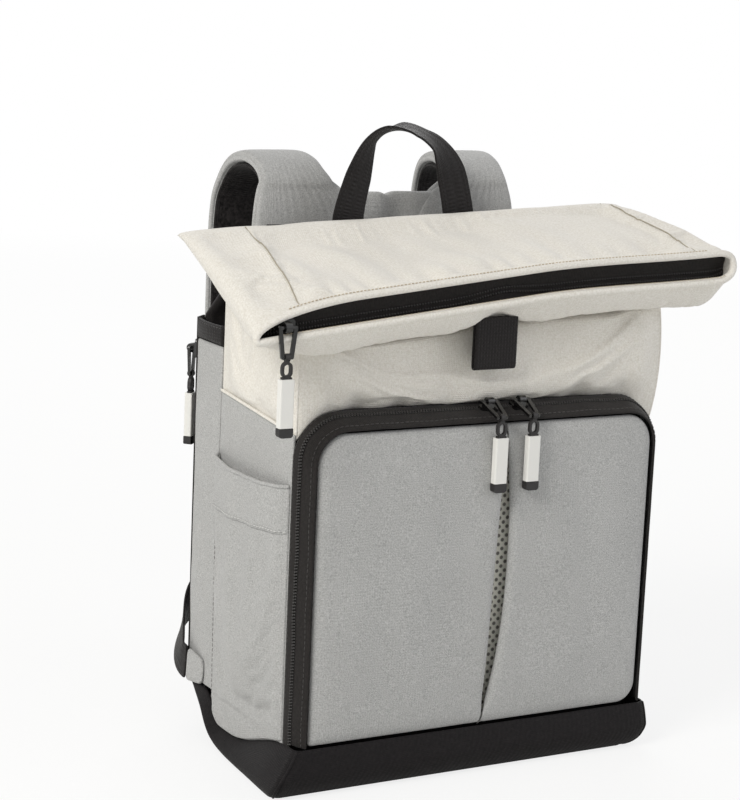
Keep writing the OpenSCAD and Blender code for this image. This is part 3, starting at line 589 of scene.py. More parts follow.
def top_place(u):
    """Which wall or corner of the cream tube a share of its way round lies on, and how far along it."""
    counts = [n for name in top_cols for n in (top_cols[name], corner_cols)]
    at, k = u * sum(counts), 0
    while at >= counts[k] and k < len(counts) - 1:
        at -= counts[k]
        k += 1
    return k, at / counts[k]


def top_surface(u, v):
    front, back = top_ring(v)
    k, t = top_place(u)
    lean_out = 9 * mm * swell(min(v / neck_start, 1), 2)
    heads = [Vector(p) for p in (
        (-front.x, front.y), (front.x + lean_out, front.y), (back.x + lean_out / 2, back.y), (-back.x, back.y)
    )]
    edge = k // 2
    r = mix(7 * mm if edge in (0, 3) else 1.5 * mm, 2 * mm, v)
    a, b, c = heads[edge], heads[(edge + 1) % 4], heads[(edge + 2) % 4]
    way, turn = (b - a).normalized(), (c - b).normalized()
    if k % 2 == 0:
        p = (a + way * r).lerp(b - way * r, t)
    else:
        p, q, e = b - way * r, b, b + turn * r
        p = p.lerp(q, t).lerp(q.lerp(e, t), t)
    depth = max(back.y - front.y, 1 * mm)
    rear = clamp((p.y - front.y) / depth)
    z = mix(front.z, back.z, rear)
    if v < top_bend:
        low = mix(arch_z(p.x) - 1.5 * mm, side_seam(p.y), smooth(0, 0.08, rear))
        if k == back_wall:
            low = mix(low, upper_back_low, smooth(0, 0.06, min(t, 1 - t)))
        high = mix(front_h, mix(seam_back, neck_h, top_bend), rear)
        z = mix(low, high, v / top_bend)
    z += skew(p.x, p.y) * smooth(0.1, 0.6, v)
    facing = {0: Vector((0, -1)), 1: Vector((1, 0)), 2: Vector((0, 1)), 3: Vector((-1, 0))}[edge]
    out = 0.0
    if edge == 0 and k % 2 == 0:
        near_zip = math.exp(-v / 0.1)
        puckers = -near_zip * (2 * mm + 4.5 * mm * sum(
            math.exp(-((p.x - c) / (7 * mm)) ** 2) for c in (-0.092, -0.061, -0.028, 0.014, 0.052, 0.074)
        ))
        broad = ripple((p.x * 0.8, z * 1.3, 3), 46 * mm, 6 * mm) * smooth(0.03, 0.2, v)
        out = (7 * mm * swell(min(v / 0.56, 1), 2) + broad + puckers) * smooth(0, 0.06, min(t, 1 - t))
    elif k % 2 == 0 and edge in (1, 3):
        broad = ripple((p.x, p.y, z), 48 * mm, 2.0 * mm)
        out = (3 * mm * swell(min(v / neck_start, 1), 2) + broad) * swell(t, 4) * smooth(0, 0.06, v)
    return p.x + facing.x * out, p.y + facing.y * out, z


def top_hold(u, v):
    """How firmly a point is held: at the seams below, the corners, the back wall and under the fold."""
    k, t = top_place(u)
    corner = 0.9 if k % 2 else 0.9 * (1 - smooth(0, 0.12, min(t, 1 - t)))
    return max(1 - smooth(0, 0.05, v), smooth(0.55, 0.75, v), corner, 1 if k == back_wall else 0)


ring, top_rows = sum(top_cols.values()) + 4 * corner_cols, 56
cream_top = cloth("cream_top", top_surface, ring, top_rows, closed=True)
settle(
    cream_top, [top_hold(c / ring, r / top_rows) for r in range(top_rows + 1) for c in range(ring)],
    spare=0.018, most=6 * mm, blow=0.4,
)
dress(
    cream_top, cream_canvas, None, "cream_canvas",
    "upper_front", "upper_side_left", "upper_side_right", "upper_back", thick=2 * mm,
)
seam_cols = {"front_right": top_cols["front"] + corner_cols / 2, "front_left": ring - corner_cols / 2}
for name, col in seam_cols.items():
    line = [Vector(top_surface(col / ring, mix(0.02, 0.5, k / 24))) for k in range(25)]
    dress(tube("cream_seam_" + name, line, 0.9 * mm), cream_canvas, "bag", "cream_canvas")
for s, side in both_sides:
    edge = [
        Vector((s * (half_w + 0.6 * mm), y, side_seam(y) + 0.8 * mm))
        for y in np.linspace(front_y + 1 * mm, divider_y - 1 * mm, 24)
    ]
    dress(tube("cream_edge_" + side, edge, 1.1 * mm), cream_canvas, "bag", "cream_canvas")
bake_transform(cream_top)

# Fold-over: the flattened end of the cream tube, folded forward and closed round at the fold. The
# upper layer is puckered where it is gathered into the bound lips, and a seam crosses it near each end.
mouth_h, mouth_gap = 325.5 * mm, 19 * mm
top_swell, belly = 5 * mm, 9 * mm
tab_x = (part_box("closure_tab")[0].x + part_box("closure_tab")[1].x) / 2
fold_r = 6 * mm
fold_end = hinge_y + fold_r
lip_cols, lip_rows = 168, 60
end_cols = 16
seam_at = 1 - 2 * end_cols / lip_cols
seam_half = 1.6 * mm
pucker_x = [x + 4 * mm * noise.noise(Vector((x * 90, 0, 1))) for x in (
    -0.142, -0.118, -0.101, -0.083, -0.062, -0.046, -0.021, 0.002, 0.018, 0.041, 0.066, 0.083, 0.107, 0.131
)]


def rim(y):
    return mix(front_h, fold_h - 7 * mm, clamp((y - front_y) / (hinge_y - front_y)))


def fold_round(y):
    """Half the thickness of the closed end at the fold, as a share of its radius."""
    return math.sqrt(max(1 - (max(y - hinge_y, 0) / fold_r) ** 2, 0))


def upper_z(y):
    f = forward(y)
    if y > hinge_y:
        return fold_h + fold_r * fold_round(y)
    return mix(fold_h + fold_r, mouth_h + mouth_gap / 2, f) + top_swell * swell(f, 2)


def under_z(y):
    if y > hinge_y:
        return fold_h - fold_r * fold_round(y)
    if y < front_y:
        return mix(mouth_h - mouth_gap / 2, front_h + 1 * mm, smooth(mouth_y, front_y, y))
    return rim(y) + 1 * mm


def edge_z(x, y):
    """Height of the line where the two layers meet at an end: low at the left of the mouth, where it is
    drawn shut."""
    f = forward(y)
    return mix(fold_h + 2 * mm, mouth_h - (9 * mm * f * f if x < 0 else 0), f)


def end_seam(s, f):
    """Where the seam near an end of the fold-over lies, from the fold to the lip."""
    return mix(-126 * mm, -147 * mm, f) if s < 0 else mix(154 * mm, 150 * mm, f)


def across(u, y):
    """Distance from the middle at a share of the half width, with the end seams on a row of their own."""
    f = forward(y)
    half = mix(fold_half, mouth_half, f)
    step = 2 / lip_cols
    left, right = end_seam(-1, f), end_seam(1, f)
    return float(np.interp(
        u,
        [-1, -seam_at - step, -seam_at, -seam_at + step, seam_at - step, seam_at, seam_at + step, 1],
        [-half, left - seam_half, left, left + seam_half, right - seam_half, right, right + seam_half, half],
    ))


def fullness(x, y):
    """How far the two layers stand apart: a blunt round end on the right and a long taper on the left."""
    f = forward(y)
    half = mix(fold_half, mouth_half, f)
    reach = mix(26 * mm, 14 * mm, f) if x > 0 else mix(40 * mm, 75 * mm, f * f)
    t = clamp((half - abs(x)) / reach)
    return math.sqrt(1 - (1 - t) ** 2)


def upper_layer(u, y):
    f = forward(y)
    x = across(u, y)
    full = fullness(x, y)
    z = mix(edge_z(x, y) + 1.2 * mm * fold_round(y), upper_z(y), full)
    near = (1 - f) * (hinge_y - mouth_y)
    held = smooth(5 * mm, 12 * mm, near)
    slant = ripple((x + 0.3 * near, near * 0.4, 7), 30 * mm, 6 * mm)
    slant = slant * smooth(0, 30 * mm, near) * smooth(0, 0.2, f)
    broad = ripple((x * 0.6, near, 9), 46 * mm, 5 * mm) * smooth(0, 20 * mm, near) * smooth(0, 0.15, f)
    seam = -1.5 * mm if abs(abs(u) - seam_at) < 0.5 / lip_cols else 0
    seam *= smooth(3 * mm, 8 * mm, near) * smooth(hinge_y, hinge_y - 10 * mm, y)
    return Vector((x, y, z + ((slant + broad) * held + seam) * full + skew(x, y)))


def gathers(x, y):
    """Where the cloth is gathered into the upper lip: furrows that run back from it, and fuller cloth
    between them."""
    near = y - mouth_y
    furrows = sum(
        (1 + 0.8 * noise.noise(Vector((c * 70, 4, 2))))
        * math.exp(-((x - c - 0.12 * near * math.sin(90 * c)) / (4.2 * mm + 0.08 * near)) ** 2)
        * math.exp(-near / (38 * mm * (1 + 0.7 * noise.noise(Vector((c * 50, 1, 8))))))
        for c in pucker_x
    )
    between = 2.5 * mm * math.exp(-near / (30 * mm))
    return (between - 8 * mm * furrows) * smooth(5 * mm, 12 * mm, near) * fullness(x, y)


def under_layer(u, y):
    f = forward(y)
    x = across(u, y)
    full = fullness(x, y)
    t = clamp((y - mouth_y) / (front_y - mouth_y))
    drawn_up = 0.8 * math.exp(-((x - tab_x) / (22 * mm)) ** 2)
    under = under_z(y) - belly * (1 - drawn_up) * swell(t ** 0.7, 2)
    z = mix(edge_z(x, y) - 1.2 * mm * fold_round(y), under, full)
    folds = ripple((x * 0.7, y, 11), 30 * mm, 3 * mm) * full * smooth(0, 0.1, 1 - f)
    return Vector((x, y, z + folds + skew(x, y)))


def fold_over_surface(u, v):
    y = mix(mouth_y, fold_end, v)
    at = u * 2
    if at < 1:
        return upper_layer(2 * at - 1, y)
    return under_layer(2 * (2 - at) - 1, y)


def fold_hold(u, v):
    """How firmly a point is held: at the lips, fold, tips and end seams, and where the cloth lies."""
    y = mix(mouth_y, fold_end, v)
    f = forward(y)
    at = 4 * u - 1 if u < 0.5 else 3 - 4 * u
    x, half = across(at, y), mix(fold_half, mouth_half, f)
    sewn = (0.9 if at < 0 else 0.4) if abs(abs(at) - seam_at) < 0.5 / lip_cols else 0
    lies = smooth(front_y - 14 * mm, front_y, y) if u >= 0.5 else 0
    return max(
        1 - smooth(6.5 * mm, 10 * mm, y - mouth_y), smooth(hinge_y - 16 * mm, hinge_y - 4 * mm, y),
        smooth(half - 12 * mm, half - 3 * mm, abs(x)), sewn, lies,
    )


lip_round = 2 * lip_cols
fold_over = cloth("fold_over", fold_over_surface, lip_round, lip_rows, closed=True)
settle(
    fold_over,
    [fold_hold(c / lip_round, r / lip_rows) for r in range(lip_rows + 1) for c in range(lip_round)],
    spare=0.025, most=7 * mm, blow=0.3,
    gathered=[
        math.exp(-r / lip_rows * (fold_end - mouth_y) / (22 * mm))
        for r in range(lip_rows + 1) for c in range(lip_round)
    ],
)
for i, point in enumerate(fold_over.data.vertices):
    if i % lip_round <= lip_cols:
        point.co.z += gathers(point.co.x, point.co.y)
# Cotton seam: a thin cord along each end seam in a shaded beige, darker than the canvas on both sides, which
# paints the shadow of the fold into the sewn line.
seam_shadow_thread = plain("seam_shadow_thread", "#A39B8B", 0.8)
seam_side = {"left": end_cols, "right": lip_cols - end_cols}
for side, col in seam_side.items():
    line = [
        fold_over.data.vertices[r * lip_round + col].co + Vector((0, 0, 0.5 * mm))
        for r in range(3, lip_rows - 3)
    ]
    dress(tube("fold_over_seam_" + side, line, 0.5 * mm), seam_shadow_thread, "flap", "cream_canvas")
dress(fold_over, cream_canvas, "flap", "cream_canvas", "flap_top", "flap_under", thick=1.6 * mm)

lip_path = [fold_over_surface(k / lip_round, 0) for k in range(lip_round)]
lip_side = [2.5 * mm if k < lip_cols else 3.0 * mm for k in range(lip_round)]
lip = tube(
    "fold_over_lip", lip_path, lambda t: lip_side[min(int(t * lip_round), lip_round - 1)], closed=True
)
dress(lip, cream_canvas, "flap", "cream_canvas")

# Mouth: a black woven tape with a coil zip down its middle, set back between the lips.
tape_in, tape_w = 5 * mm, 25 * mm
tape_end = 0.985

# Woven polyester tape: plain black with a fine rib.
black_tape = woven(
    "black_zip_tape", "#2E2B2A", "#1B1918",
    thread=1.2 * mm, speck=1.6 * mm, contrast=0.3, rough=0.7, sheen=0.1, relief=0.2 * mm,
)


def mouth_tape(u, v):
    across = mix(-tape_end, tape_end, u)
    y = mouth_y + tape_in
    low, high = under_layer(across, y), upper_layer(across, y)
    p = low.lerp(high, mix(0.04, 0.92, v))
    return p.x, p.y + 2.5 * mm * swell(v, 2), p.z


# Nylon coil and thread: small black and cream strands that catch a thin light.
black_coil = plain("black_nylon_coil", "#2A2827", 0.4)
black_thread = plain("black_thread", "#3A3837", 0.6)
cream_thread = plain("cream_thread", "#C4B7A1", 0.7)

tape = cloth("mouth_tape", mouth_tape, 96, 12)
dress(tape, black_tape, "flap", "zip_tape", "flap_zip_tape", thick=1.2 * mm)


def lower_roll(u, v):
    """The line on the lower lip where its roll meets the tape."""
    return under_layer(mix(-0.9, 0.95, u), mouth_y) + Vector((0, -1.4 * mm, 2.7 * mm + v * mm))


lip_stitch = 4.4 * mm / (fold_end - mouth_y)
lip_lines = {
    "upper_lip_stitches": (fold_over_surface, lambda t: (mix(0.035, 0.47, t), lip_stitch)),
    "lower_lip_stitches": (lower_roll, lambda t: (t, 0.5)),
}
for name, (surface, line) in lip_lines.items():
    row = beads(name, surface, line, 2.6 * mm, (0.9 * mm, 0.35 * mm, 0.4 * mm), 0.6 * mm)
    dress(row, cream_thread, "flap", "cream_canvas", rounds=0)

chain_rows = {"mouth_chain_low": 0.4, "mouth_chain_high": 0.54}
tooth = (0.6 * mm, 1.1 * mm, 0.7 * mm)
tooth_pitch, tooth_lift = 2 * mm, 0.3 * mm
for name, v in chain_rows.items():
    row = beads(name, mouth_tape, lambda t: (t, v), tooth_pitch, tooth, tooth_lift)
    dress(row, black_coil, "flap", "zip_tape", rounds=0)

# Closure tab: a short loop of webbing under the middle of the mouth, doubled back at its end.
tab_lo, tab_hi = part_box("closure_tab")
tab_tuck = 3 * mm

# Polypropylene webbing: coarse black ribs with a slight gloss.
black_webbing = woven(
    "black_webbing", "#2B2828", "#151313",
    thread=2.2 * mm, speck=1.5 * mm, contrast=0.3, rough=0.55, sheen=0.08, relief=0.45 * mm,
)


def tab_surface(u, v):
    x = mix(tab_hi.x, tab_lo.x, u)
    r = (tab_hi.y - tab_lo.y) / 2
    middle, low = (tab_lo.y + tab_hi.y) / 2, tab_lo.z + r
    if v < 0.45:
        return x, middle - r, mix(tab_hi.z + tab_tuck, low, v / 0.45)
    if v > 0.55:
        return x, middle + r, mix(low, tab_hi.z + tab_tuck, (v - 0.55) / 0.45)
    angle = math.pi * (v - 0.45) / 0.1
    return x, middle - r * math.cos(angle), low - r * math.sin(angle)


closure = cloth("closure_loop", tab_surface, 12, 40)
dress(closure, black_webbing, "tab", "black_webbing", "closure_tab", thick=1.8 * mm)

# Front pocket zip: a black band round the pocket in two halves, which part at the chain. The half
# on the body stays with the bag and the other goes with the front panel.
chain_share = 0.4
band_in, band_drop = 7 * mm, 9 * mm
arch_marks = (0, 0.277, 0.341, 0.659, 0.723, 1)


def arch(u, share):
    """The band's line in the front plane: up the left leg, over the top and down the right leg."""
    r = arch_r - band_in * share
    x, z = half_w - band_in * share - r, pocket_top - band_drop * share - r
    k = max(i for i in range(5) if u >= arch_marks[i])
    t = (u - arch_marks[k]) / (arch_marks[k + 1] - arch_marks[k])
    if k == 0:
        return -x - r, mix(base_h, z, t)
    if k == 4:
        return x + r, mix(z, base_h, t)
    if k == 2:
        return mix(-x, x, t), z + r
    angle = math.radians(180 - 90 * t if k == 1 else 90 - 90 * t)
    return math.copysign(x, k - 2) + r * math.cos(angle), z + r * math.sin(angle)


def band(u, share):
    x, z = arch(u, share)
    ahead, behind = arch(min(u + 0.002, 1), share), arch(max(u - 0.002, 0), share)
    way = Vector((ahead[0] - behind[0], ahead[1] - behind[1])).normalized()
    waves = ripple((u * 0.67, share * 0.02, 2), 20 * mm, 0.7 * mm) * swell(share, 4)
    lift = 1.3 * mm * swell(share, 2) + waves
    return x - way.y * lift, mix(front_y, panel_y, share), z + way.x * lift


foot_tuck = 2.5 * mm


def body_half(u, v):
    """The half on the body, its two feet tucked into the base."""
    x, y, z = band(u, mix(chain_share - 0.02, 0, v))
    return x, y, z - foot_tuck * (1 - smooth(0, 0.03, min(u, 1 - u)))


def panel_half_band(u, v):
    return band(u, mix(1, chain_share + 0.02, v))


body_zip = cloth("body_zip_cloth", body_half, 150, 6)
dress(body_zip, black_tape, "bag", "zip_tape", "body_zip_band", thick=1.4 * mm)
panel_zip = cloth("panel_zip_cloth", panel_half_band, 150, 8)
dress(panel_zip, black_tape, "pocket_panel", "zip_tape", "panel_zip_band", thick=1.4 * mm)
zip_rows = (
    ("body_zip_teeth", body_half, "bag", 0.04, tooth_pitch, tooth, tooth_lift, black_coil),
    ("panel_zip_teeth", panel_half_band, "pocket_panel", 0.97, tooth_pitch, tooth, tooth_lift, black_coil),
    ("body_zip_stitches", body_half, "bag", 0.78, stitch_pitch, thread, 0.0, black_thread),
    ("panel_zip_stitches", panel_half_band, "pocket_panel", 0.3, stitch_pitch, thread, 0.0, black_thread),
)
for name, surface, body, v, pitch, size, lift, strand in zip_rows:
    row = beads(name, surface, lambda t: (t, v), pitch, size, lift)
    dress(row, strand, body, "zip_tape", rounds=0)

# Front panel: two padded halves of grey heather with rounded outer edges. They meet on an upright
# line, and between its ends the right half draws back in a soft roll from a narrow slit.
panel_lo, panel_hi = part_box("front_panel_left")[0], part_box("front_panel_right")[1]
panel_r = 20.7 * mm
foot_r = {-1: 3 * mm, 1: 15 * mm}
slit_low, slit_high = 40 * mm, 226 * mm
slit_w = 9 * mm
edge_round, edge_depth = 9 * mm, 4.5 * mm


def corner_in(z, low_r):
    """How far a side edge draws in at a height, in the rounding of its upper and lower corner."""
    over, under = max(z - (panel_hi.z - panel_r), 0), max(panel_lo.z + low_r - z, 0)
    return (
        panel_r - math.sqrt(max(panel_r ** 2 - over ** 2, 0))
        + low_r - math.sqrt(max(low_r ** 2 - under ** 2, 0))
    )


def slit_line(z):
    return mix(1.6 * mm, 9.6 * mm, (z - slit_low) / (slit_high - slit_low))


def slit_open(z):
    t = clamp((z - slit_low) / (slit_high - slit_low))
    return 0.3 * mm + slit_w * swell(t, 2)


def rounding(distance, reach):
    """How far a padded face has risen at a distance from its sewn edge."""
    t = clamp(distance / reach)
    return math.sqrt(1 - (1 - t) ** 2)


def panel_point(x, z, slit_distance):
    side, head = panel_hi.x - panel_r, panel_hi.z - panel_r
    low_r = foot_r[1 if x > 0 else -1]
    if abs(x) > side and z > head:
        outer = panel_r - math.hypot(abs(x) - side, z - head)
    elif abs(x) > panel_hi.x - low_r and z < panel_lo.z + low_r:
        outer = low_r - math.hypot(abs(x) - panel_hi.x + low_r, z - panel_lo.z - low_r)
    else:
        outer = min(panel_hi.x - abs(x), panel_hi.z - z, z - panel_lo.z)
    crown = swell((x / panel_hi.x + 1) / 2, 6) * swell((z - panel_lo.z) / (panel_hi.z - panel_lo.z), 6)
    above_foot = smooth(slit_low - 4 * mm, slit_low + 14 * mm, z)
    slit = above_foot * (1 - smooth(slit_high - 14 * mm, slit_high + 4 * mm, z))
    turn = mix(1.2 * mm, 5 * mm, slit) * (1 - rounding(slit_distance, mix(2.5 * mm, 6 * mm, slit)))
    folds = ripple((x * 1.2, 4, z * 0.45), 38 * mm, 1.3 * mm) * rounding(outer, 25 * mm)
    rise = rounding(outer, edge_round)
    return x, panel_y + edge_depth - (edge_depth + 3.3 * mm * crown + folds) * rise + turn, z


def spread(t):
    """Rows drawn together towards both edges, where a face bends most."""
    return mix(t, 0.5 - 0.5 * math.cos(math.pi * t), 0.8)


def left_half(u, v):
    z = mix(panel_lo.z, panel_hi.z, spread(v))
    start, end = corner_in(z, foot_r[-1]) - panel_hi.x, slit_line(z)
    x = mix(start, end, spread(u))
    return panel_point(x, z, end - x)


def right_half(u, v):
    z = mix(panel_lo.z, panel_hi.z, spread(v))
    start, end = slit_line(z) + slit_open(z), panel_hi.x - corner_in(z, foot_r[1])
    x = mix(start, end, spread(u))
    return panel_point(x, z, x - start)


for side, half in (("left", left_half), ("right", right_half)):
    pad = cloth("front_panel_" + side + "_cloth", half, 52, 72)
    dress(pad, grey_heather, "pocket_panel", "heather_grey", "front_panel_" + side, thick=3 * mm)

tack_rows = {"slit_head_tack": 0.955, "slit_foot_tack": 0.02}
for name, v in tack_rows.items():
    tack = beads(
        name, left_half, lambda t: (mix(0.995, 0.95, t), v), 1.1 * mm,
        (0.5 * mm, 2.2 * mm, 0.6 * mm), 0.3 * mm,
    )
    dress(tack, grey_thread, "pocket_panel", "heather_grey", rounds=0)

# Vent: a perforated spacer mesh behind the slit, and the pocket's black lining behind both.
mesh_lo, mesh_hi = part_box("vent_mesh")
hole_pitch = 6 * mm

# Spacer mesh: a dull knit whose colour is painted pale to light up the shade it sits in behind the slit, with
# staggered round holes painted dark for the lining and the shade behind them.
vent_knit = bpy.data.materials.new("perforated_spacer_mesh")
vent_knit.use_nodes = True
tree = vent_knit.node_tree
place = add(tree, "TexCoord")
turned = add(tree, "Mapping", {
    "Vector": place.outputs["UV"], "Rotation": (0, 0, math.radians(45)),
    "Scale": [math.sqrt(2) / hole_pitch] * 3,
})
holes = add(tree, "TexVoronoi", {
    "Vector": turned.outputs[0], "Scale": 1, "Randomness": 0
}, voronoi_dimensions="2D")
dark = add(tree, "MapRange", {"Value": holes.outputs["Distance"], "From Min": 0.24, "From Max": 0.36})
# Painted light and shade: the pale knit colour offsets the slit's shade, and the dark hole colour paints the
# shade behind the holes.
knit = add(tree, "Mix", {
    0: dark.outputs["Result"], 6: linear("#77756E"), 7: linear("#F2F0E6")
}, data_type="RGBA")
shader = tree.nodes["Principled BSDF"]
tree.links.new(knit.outputs[2], shader.inputs["Base Color"])
shader.inputs["Roughness"].default_value = 0.8

vent = cloth(
    "vent_knit",
    lambda u, v: (mix(mesh_lo.x, mesh_hi.x, u), mesh_lo.y, mix(mesh_lo.z, mesh_hi.z, v)), 6, 40,
)
dress(vent, vent_knit, "pocket_panel", "vent_mesh", "vent_mesh", thick=1 * mm, rounds=0)

# Lining polyester: thin, plain and nearly black.
black_lining = woven(
    "black_lining_polyester", "#2E2B2B", "#1F1D1D",
    thread=1.5 * mm, speck=2 * mm, contrast=0.3, rough=0.6, sheen=0.05, relief=0.15 * mm,
)
lining_lo, lining_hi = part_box("panel_lining")


def lining_surface(u, v):
    z = mix(lining_lo.z, lining_hi.z, v)
    half = lining_hi.x - corner_in(z, foot_r[-1])
    x = mix(half, -half, u)
    return x, lining_hi.y - ripple((x, 0, z), 50 * mm, 0.4 * mm) - 0.4 * mm, z


lining = cloth("panel_lining_cloth", lining_surface, 30, 30)
dress(lining, black_lining, "pocket_panel", "black_lining", "panel_lining", thick=0.8 * mm, rounds=0)

for node, outward in (("pocket_back_wall", -1), ("divider_panel", 1)):
    lo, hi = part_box(node)

    def wall_surface(u, v):
        z = mix(lo.z, hi.z, v)
        over = max(z - pocket_top + arch_r, 0)
        narrow = min(1, (half_w - arch_r + math.sqrt(max(arch_r ** 2 - over ** 2, 0))) / half_w)
        face = (lo.y if outward < 0 else hi.y) - outward * 0.6 * mm
        waves = ripple((u * 0.2, outward, v * 0.2), 45 * mm, 0.5 * mm)
        return mix(lo.x, hi.x, u if outward < 0 else 1 - u) * narrow, face + waves, z

    wall = cloth(node + "_cloth", wall_surface, 30, 30)
    dress(wall, black_lining, "bag", "black_lining", node, thick=1.6 * mm, rounds=0)

# Back sleeve: grey side walls with black bands across their upper ends, a zip up the left corner,
# and the back panel with its crowned mesh pads.
sleeve_low, sleeve_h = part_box("sleeve_gusset_left")[0].z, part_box("sleeve_gusset_left")[1].z
corner_cut = 8 * mm
band_lo, band_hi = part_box("sleeve_bands")


def gusset(s, u, v, low, high, lift):
    """A point of a sleeve's side wall, from the main body round to the back corner."""
    t = u if s > 0 else 1 - u
    run = back_y - corner_cut - divider_y
    slant = corner_cut * math.sqrt(2) if s > 0 else 0
    far = t * (run + slant)
    z = mix(low, high, v)
    slack = 2 * mm * swell(min(far / run, 1), 2) + ripple((s, far, z), 40 * mm, 1.2 * mm)
    bulge = lift + slack * swell(v, 4)
    if far <= run:
        return s * (half_w + bulge), divider_y + far, z
    step = (far - run) / math.sqrt(2)
    return s * (half_w - step + lift), back_y - corner_cut + step + lift, z


for s, side in both_sides:
    wall = cloth("sleeve_wall_" + side, lambda u, v: gusset(s, u, v, sleeve_low, sleeve_h, 0), 24, 60)
    dress(wall, grey_heather, "bag", "heather_grey", "sleeve_gusset_" + side, thick=2 * mm)

    def cuff(u, v):
        return gusset(s, u, v, band_lo.z, band_hi.z, 0.5 * mm)

    strip = cloth("sleeve_band_" + side, cuff, 24, 8)
    shown_for = ["sleeve_bands"] if s < 0 else []
    dress(strip, black_webbing, "bag", "black_webbing", *shown_for, thick=3 * mm)
    for k, v in enumerate((0.15, 0.85)):
        row = beads(
            "sleeve_band_{}_stitches_{}".format(side, k), cuff, lambda t: (t, v), stitch_pitch, thread
        )
        dress(row, black_thread, "bag", "black_webbing", rounds=0)


def sleeve_tape(u, v):
    across = mix(corner_cut, 0, u)
    x, y = -half_w + across, back_y - corner_cut + across
    return x - 0.5 * mm, y + 0.5 * mm, mix(sleeve_low, band_hi.z, v)


sleeve_zip = cloth("sleeve_tape_cloth", sleeve_tape, 6, 60)
dress(sleeve_zip, black_tape, "bag", "zip_tape", "sleeve_zip_tape", thick=1.4 * mm, rounds=0)
for k, u in enumerate((0.44, 0.56)):
    row = beads(
        "sleeve_zip_teeth_{}".format(k), sleeve_tape, lambda t: (u, t), tooth_pitch, tooth, tooth_lift
    )
    dress(row, black_coil, "bag", "zip_tape", rounds=0)

back_lo, back_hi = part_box("back_panel")

# Air mesh: a black open knit over foam, dull, with small dark holes.
black_air_mesh = woven(
    "black_air_mesh", "#322F2F", "#121010",
    thread=3 * mm, speck=2.4 * mm, contrast=0.16, rough=0.8, sheen=0.1, relief=0.6 * mm,
)

back_lean = 25 * mm


def back_face(z):
    """The back panel's outer face: upright up to the sleeve's mouth and leaning forward above it."""
    return back_y - back_lean * clamp((z - band_hi.z) / (back_hi.z - band_hi.z))


def back_surface(u, v):
    z = mix(back_lo.z, back_hi.z, v)
    half = back_hi.x - max(z - band_hi.z, 0) / 2
    return mix(half, -half, u), back_face(z) - 0.2 * mm, z


back_panel = cloth("back_panel_cloth", back_surface, 40, 60)
dress(back_panel, black_lining, "bag", "black_lining", "back_panel", thick=2.6 * mm, rounds=0)

pads_lo, pads_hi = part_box("back_pads")
pad_split, lumbar_top, pads_start = 20 * mm, 84 * mm, 92 * mm


def crowned(x0, x1, z0, z1, thick):
    """A pad on the back panel, full in the middle and drawn down to a thin edge."""
    def surface(u, v):
        x, z = mix(x1, x0, spread(u)), mix(z0, z1, spread(v))
        rise = 3 * mm + (thick - 3 * mm) * swell(spread(u), 4) * swell(spread(v), 8)
        return x, back_face(z) + rise + ripple((x, 1, z), 30 * mm, 0.6 * mm) * swell(spread(u), 2), z
    return surface


pads = {
    "back_pad_left": (pads_lo.x, -pad_split, pads_start, pads_hi.z),
    "back_pad_right": (pad_split, pads_hi.x, pads_start, pads_hi.z),
    "lumbar_pad": (pads_lo.x, pads_hi.x, pads_lo.z, lumbar_top),
}
for name, sides in pads.items():
    pad = cloth(name, crowned(*sides, 13 * mm), 32, 48)
    shown_for = ["back_pads"] if name == "lumbar_pad" else []
    dress(pad, black_air_mesh, "bag", "black_mesh", *shown_for, thick=2.6 * mm)

# Shoulder straps: a grey padded yoke over the top of the back, and from it on each side a padded
# strap lined with black mesh that rises, turns over and comes down to a ladder lock.
yoke_lo, yoke_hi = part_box("strap_yoke")
strap_w, strap_end_w, strap_t, mesh_t = 52 * mm, 36 * mm, 9 * mm, 2.6 * mm
strap_mid = (strap_t + mesh_t + 0.6 * mm) / 2
lock_h, strap_low, strap_head, back_h = 110 * mm, 129 * mm, 371.9 * mm, 350 * mm
strap_route = [
    (72, -17.8, 1.1), (72, -16.2, 1.13), (73, -6, 1.165), (75, 11, 1.18), (77, 30, 1.16), (79.5, 43, 1.1),
    (82, 49, 1), (86, 44, 0.73), (90, 35, 0.41), (92, 28.5, 0.15), (93, 25, 0),
]
web_route = [
    (95, 20.5, 0.9), (105.4, 21.4, 0.838), (120.2, 19.2, 0.7245), (133, 11, 0.571), (141, -3, 0.431),
    (141.4, -16.6, 0.398),
]
tab_root = (137.2, -36, 41.5)
web_w, web_t = 25 * mm, 1.8 * mm
tail_l, turn_r = 48 * mm, 3.4 * mm


def strap_z(t):
    return mix(strap_low, back_h, t) if t < 1.1 else strap_head + (t - 1.1) * (back_h - lock_h)


def curve(points, steps):
    """A smooth line through points."""
    points = [Vector(p) for p in points]
    ends = [points[0]] + points + [points[-1]]
    line = []
    for a, b, c, d in zip(ends, ends[1:], ends[2:], ends[3:]):
        for j in range(steps):
            t = j / steps
            second, third = 2 * a - 5 * b + 4 * c - d, 3 * b - a - 3 * c + d
            line.append((2 * b + (c - a) * t + second * t ** 2 + third * t ** 3) / 2)
    return line + [points[-1]]


def ribbon(name, route, width, low, high, flat_way, power=4, aside=lambda t: 0):
    """A strap of rounded section along a route, with its width, its faces and its flat direction, set
    aside from the route by a distance of its own."""
    last = len(route) - 1
    sides = 24

    def section(u, v):
        i = round(v * last)
        way = (route[min(i + 1, last)] - route[max(i - 1, 0)]).normalized()
        side = Vector(flat_way(v, way))
        side = (side - way * side.dot(way)).normalized()
        up = side.cross(way)
        angle = -2 * math.pi * u
        across, above = math.cos(angle), math.sin(angle)
        across = math.copysign(abs(across) ** (2 / power), across)
        above = math.copysign(abs(above) ** (2 / power), above)
        return route[i] + side * (across * width(v) / 2 + aside(v)) + up * (mix(low, high, 0.5 + above / 2))

    return cloth(name, section, sides, last, closed=True, capped=True)


def level(t, way):
    return 1, 0, 0


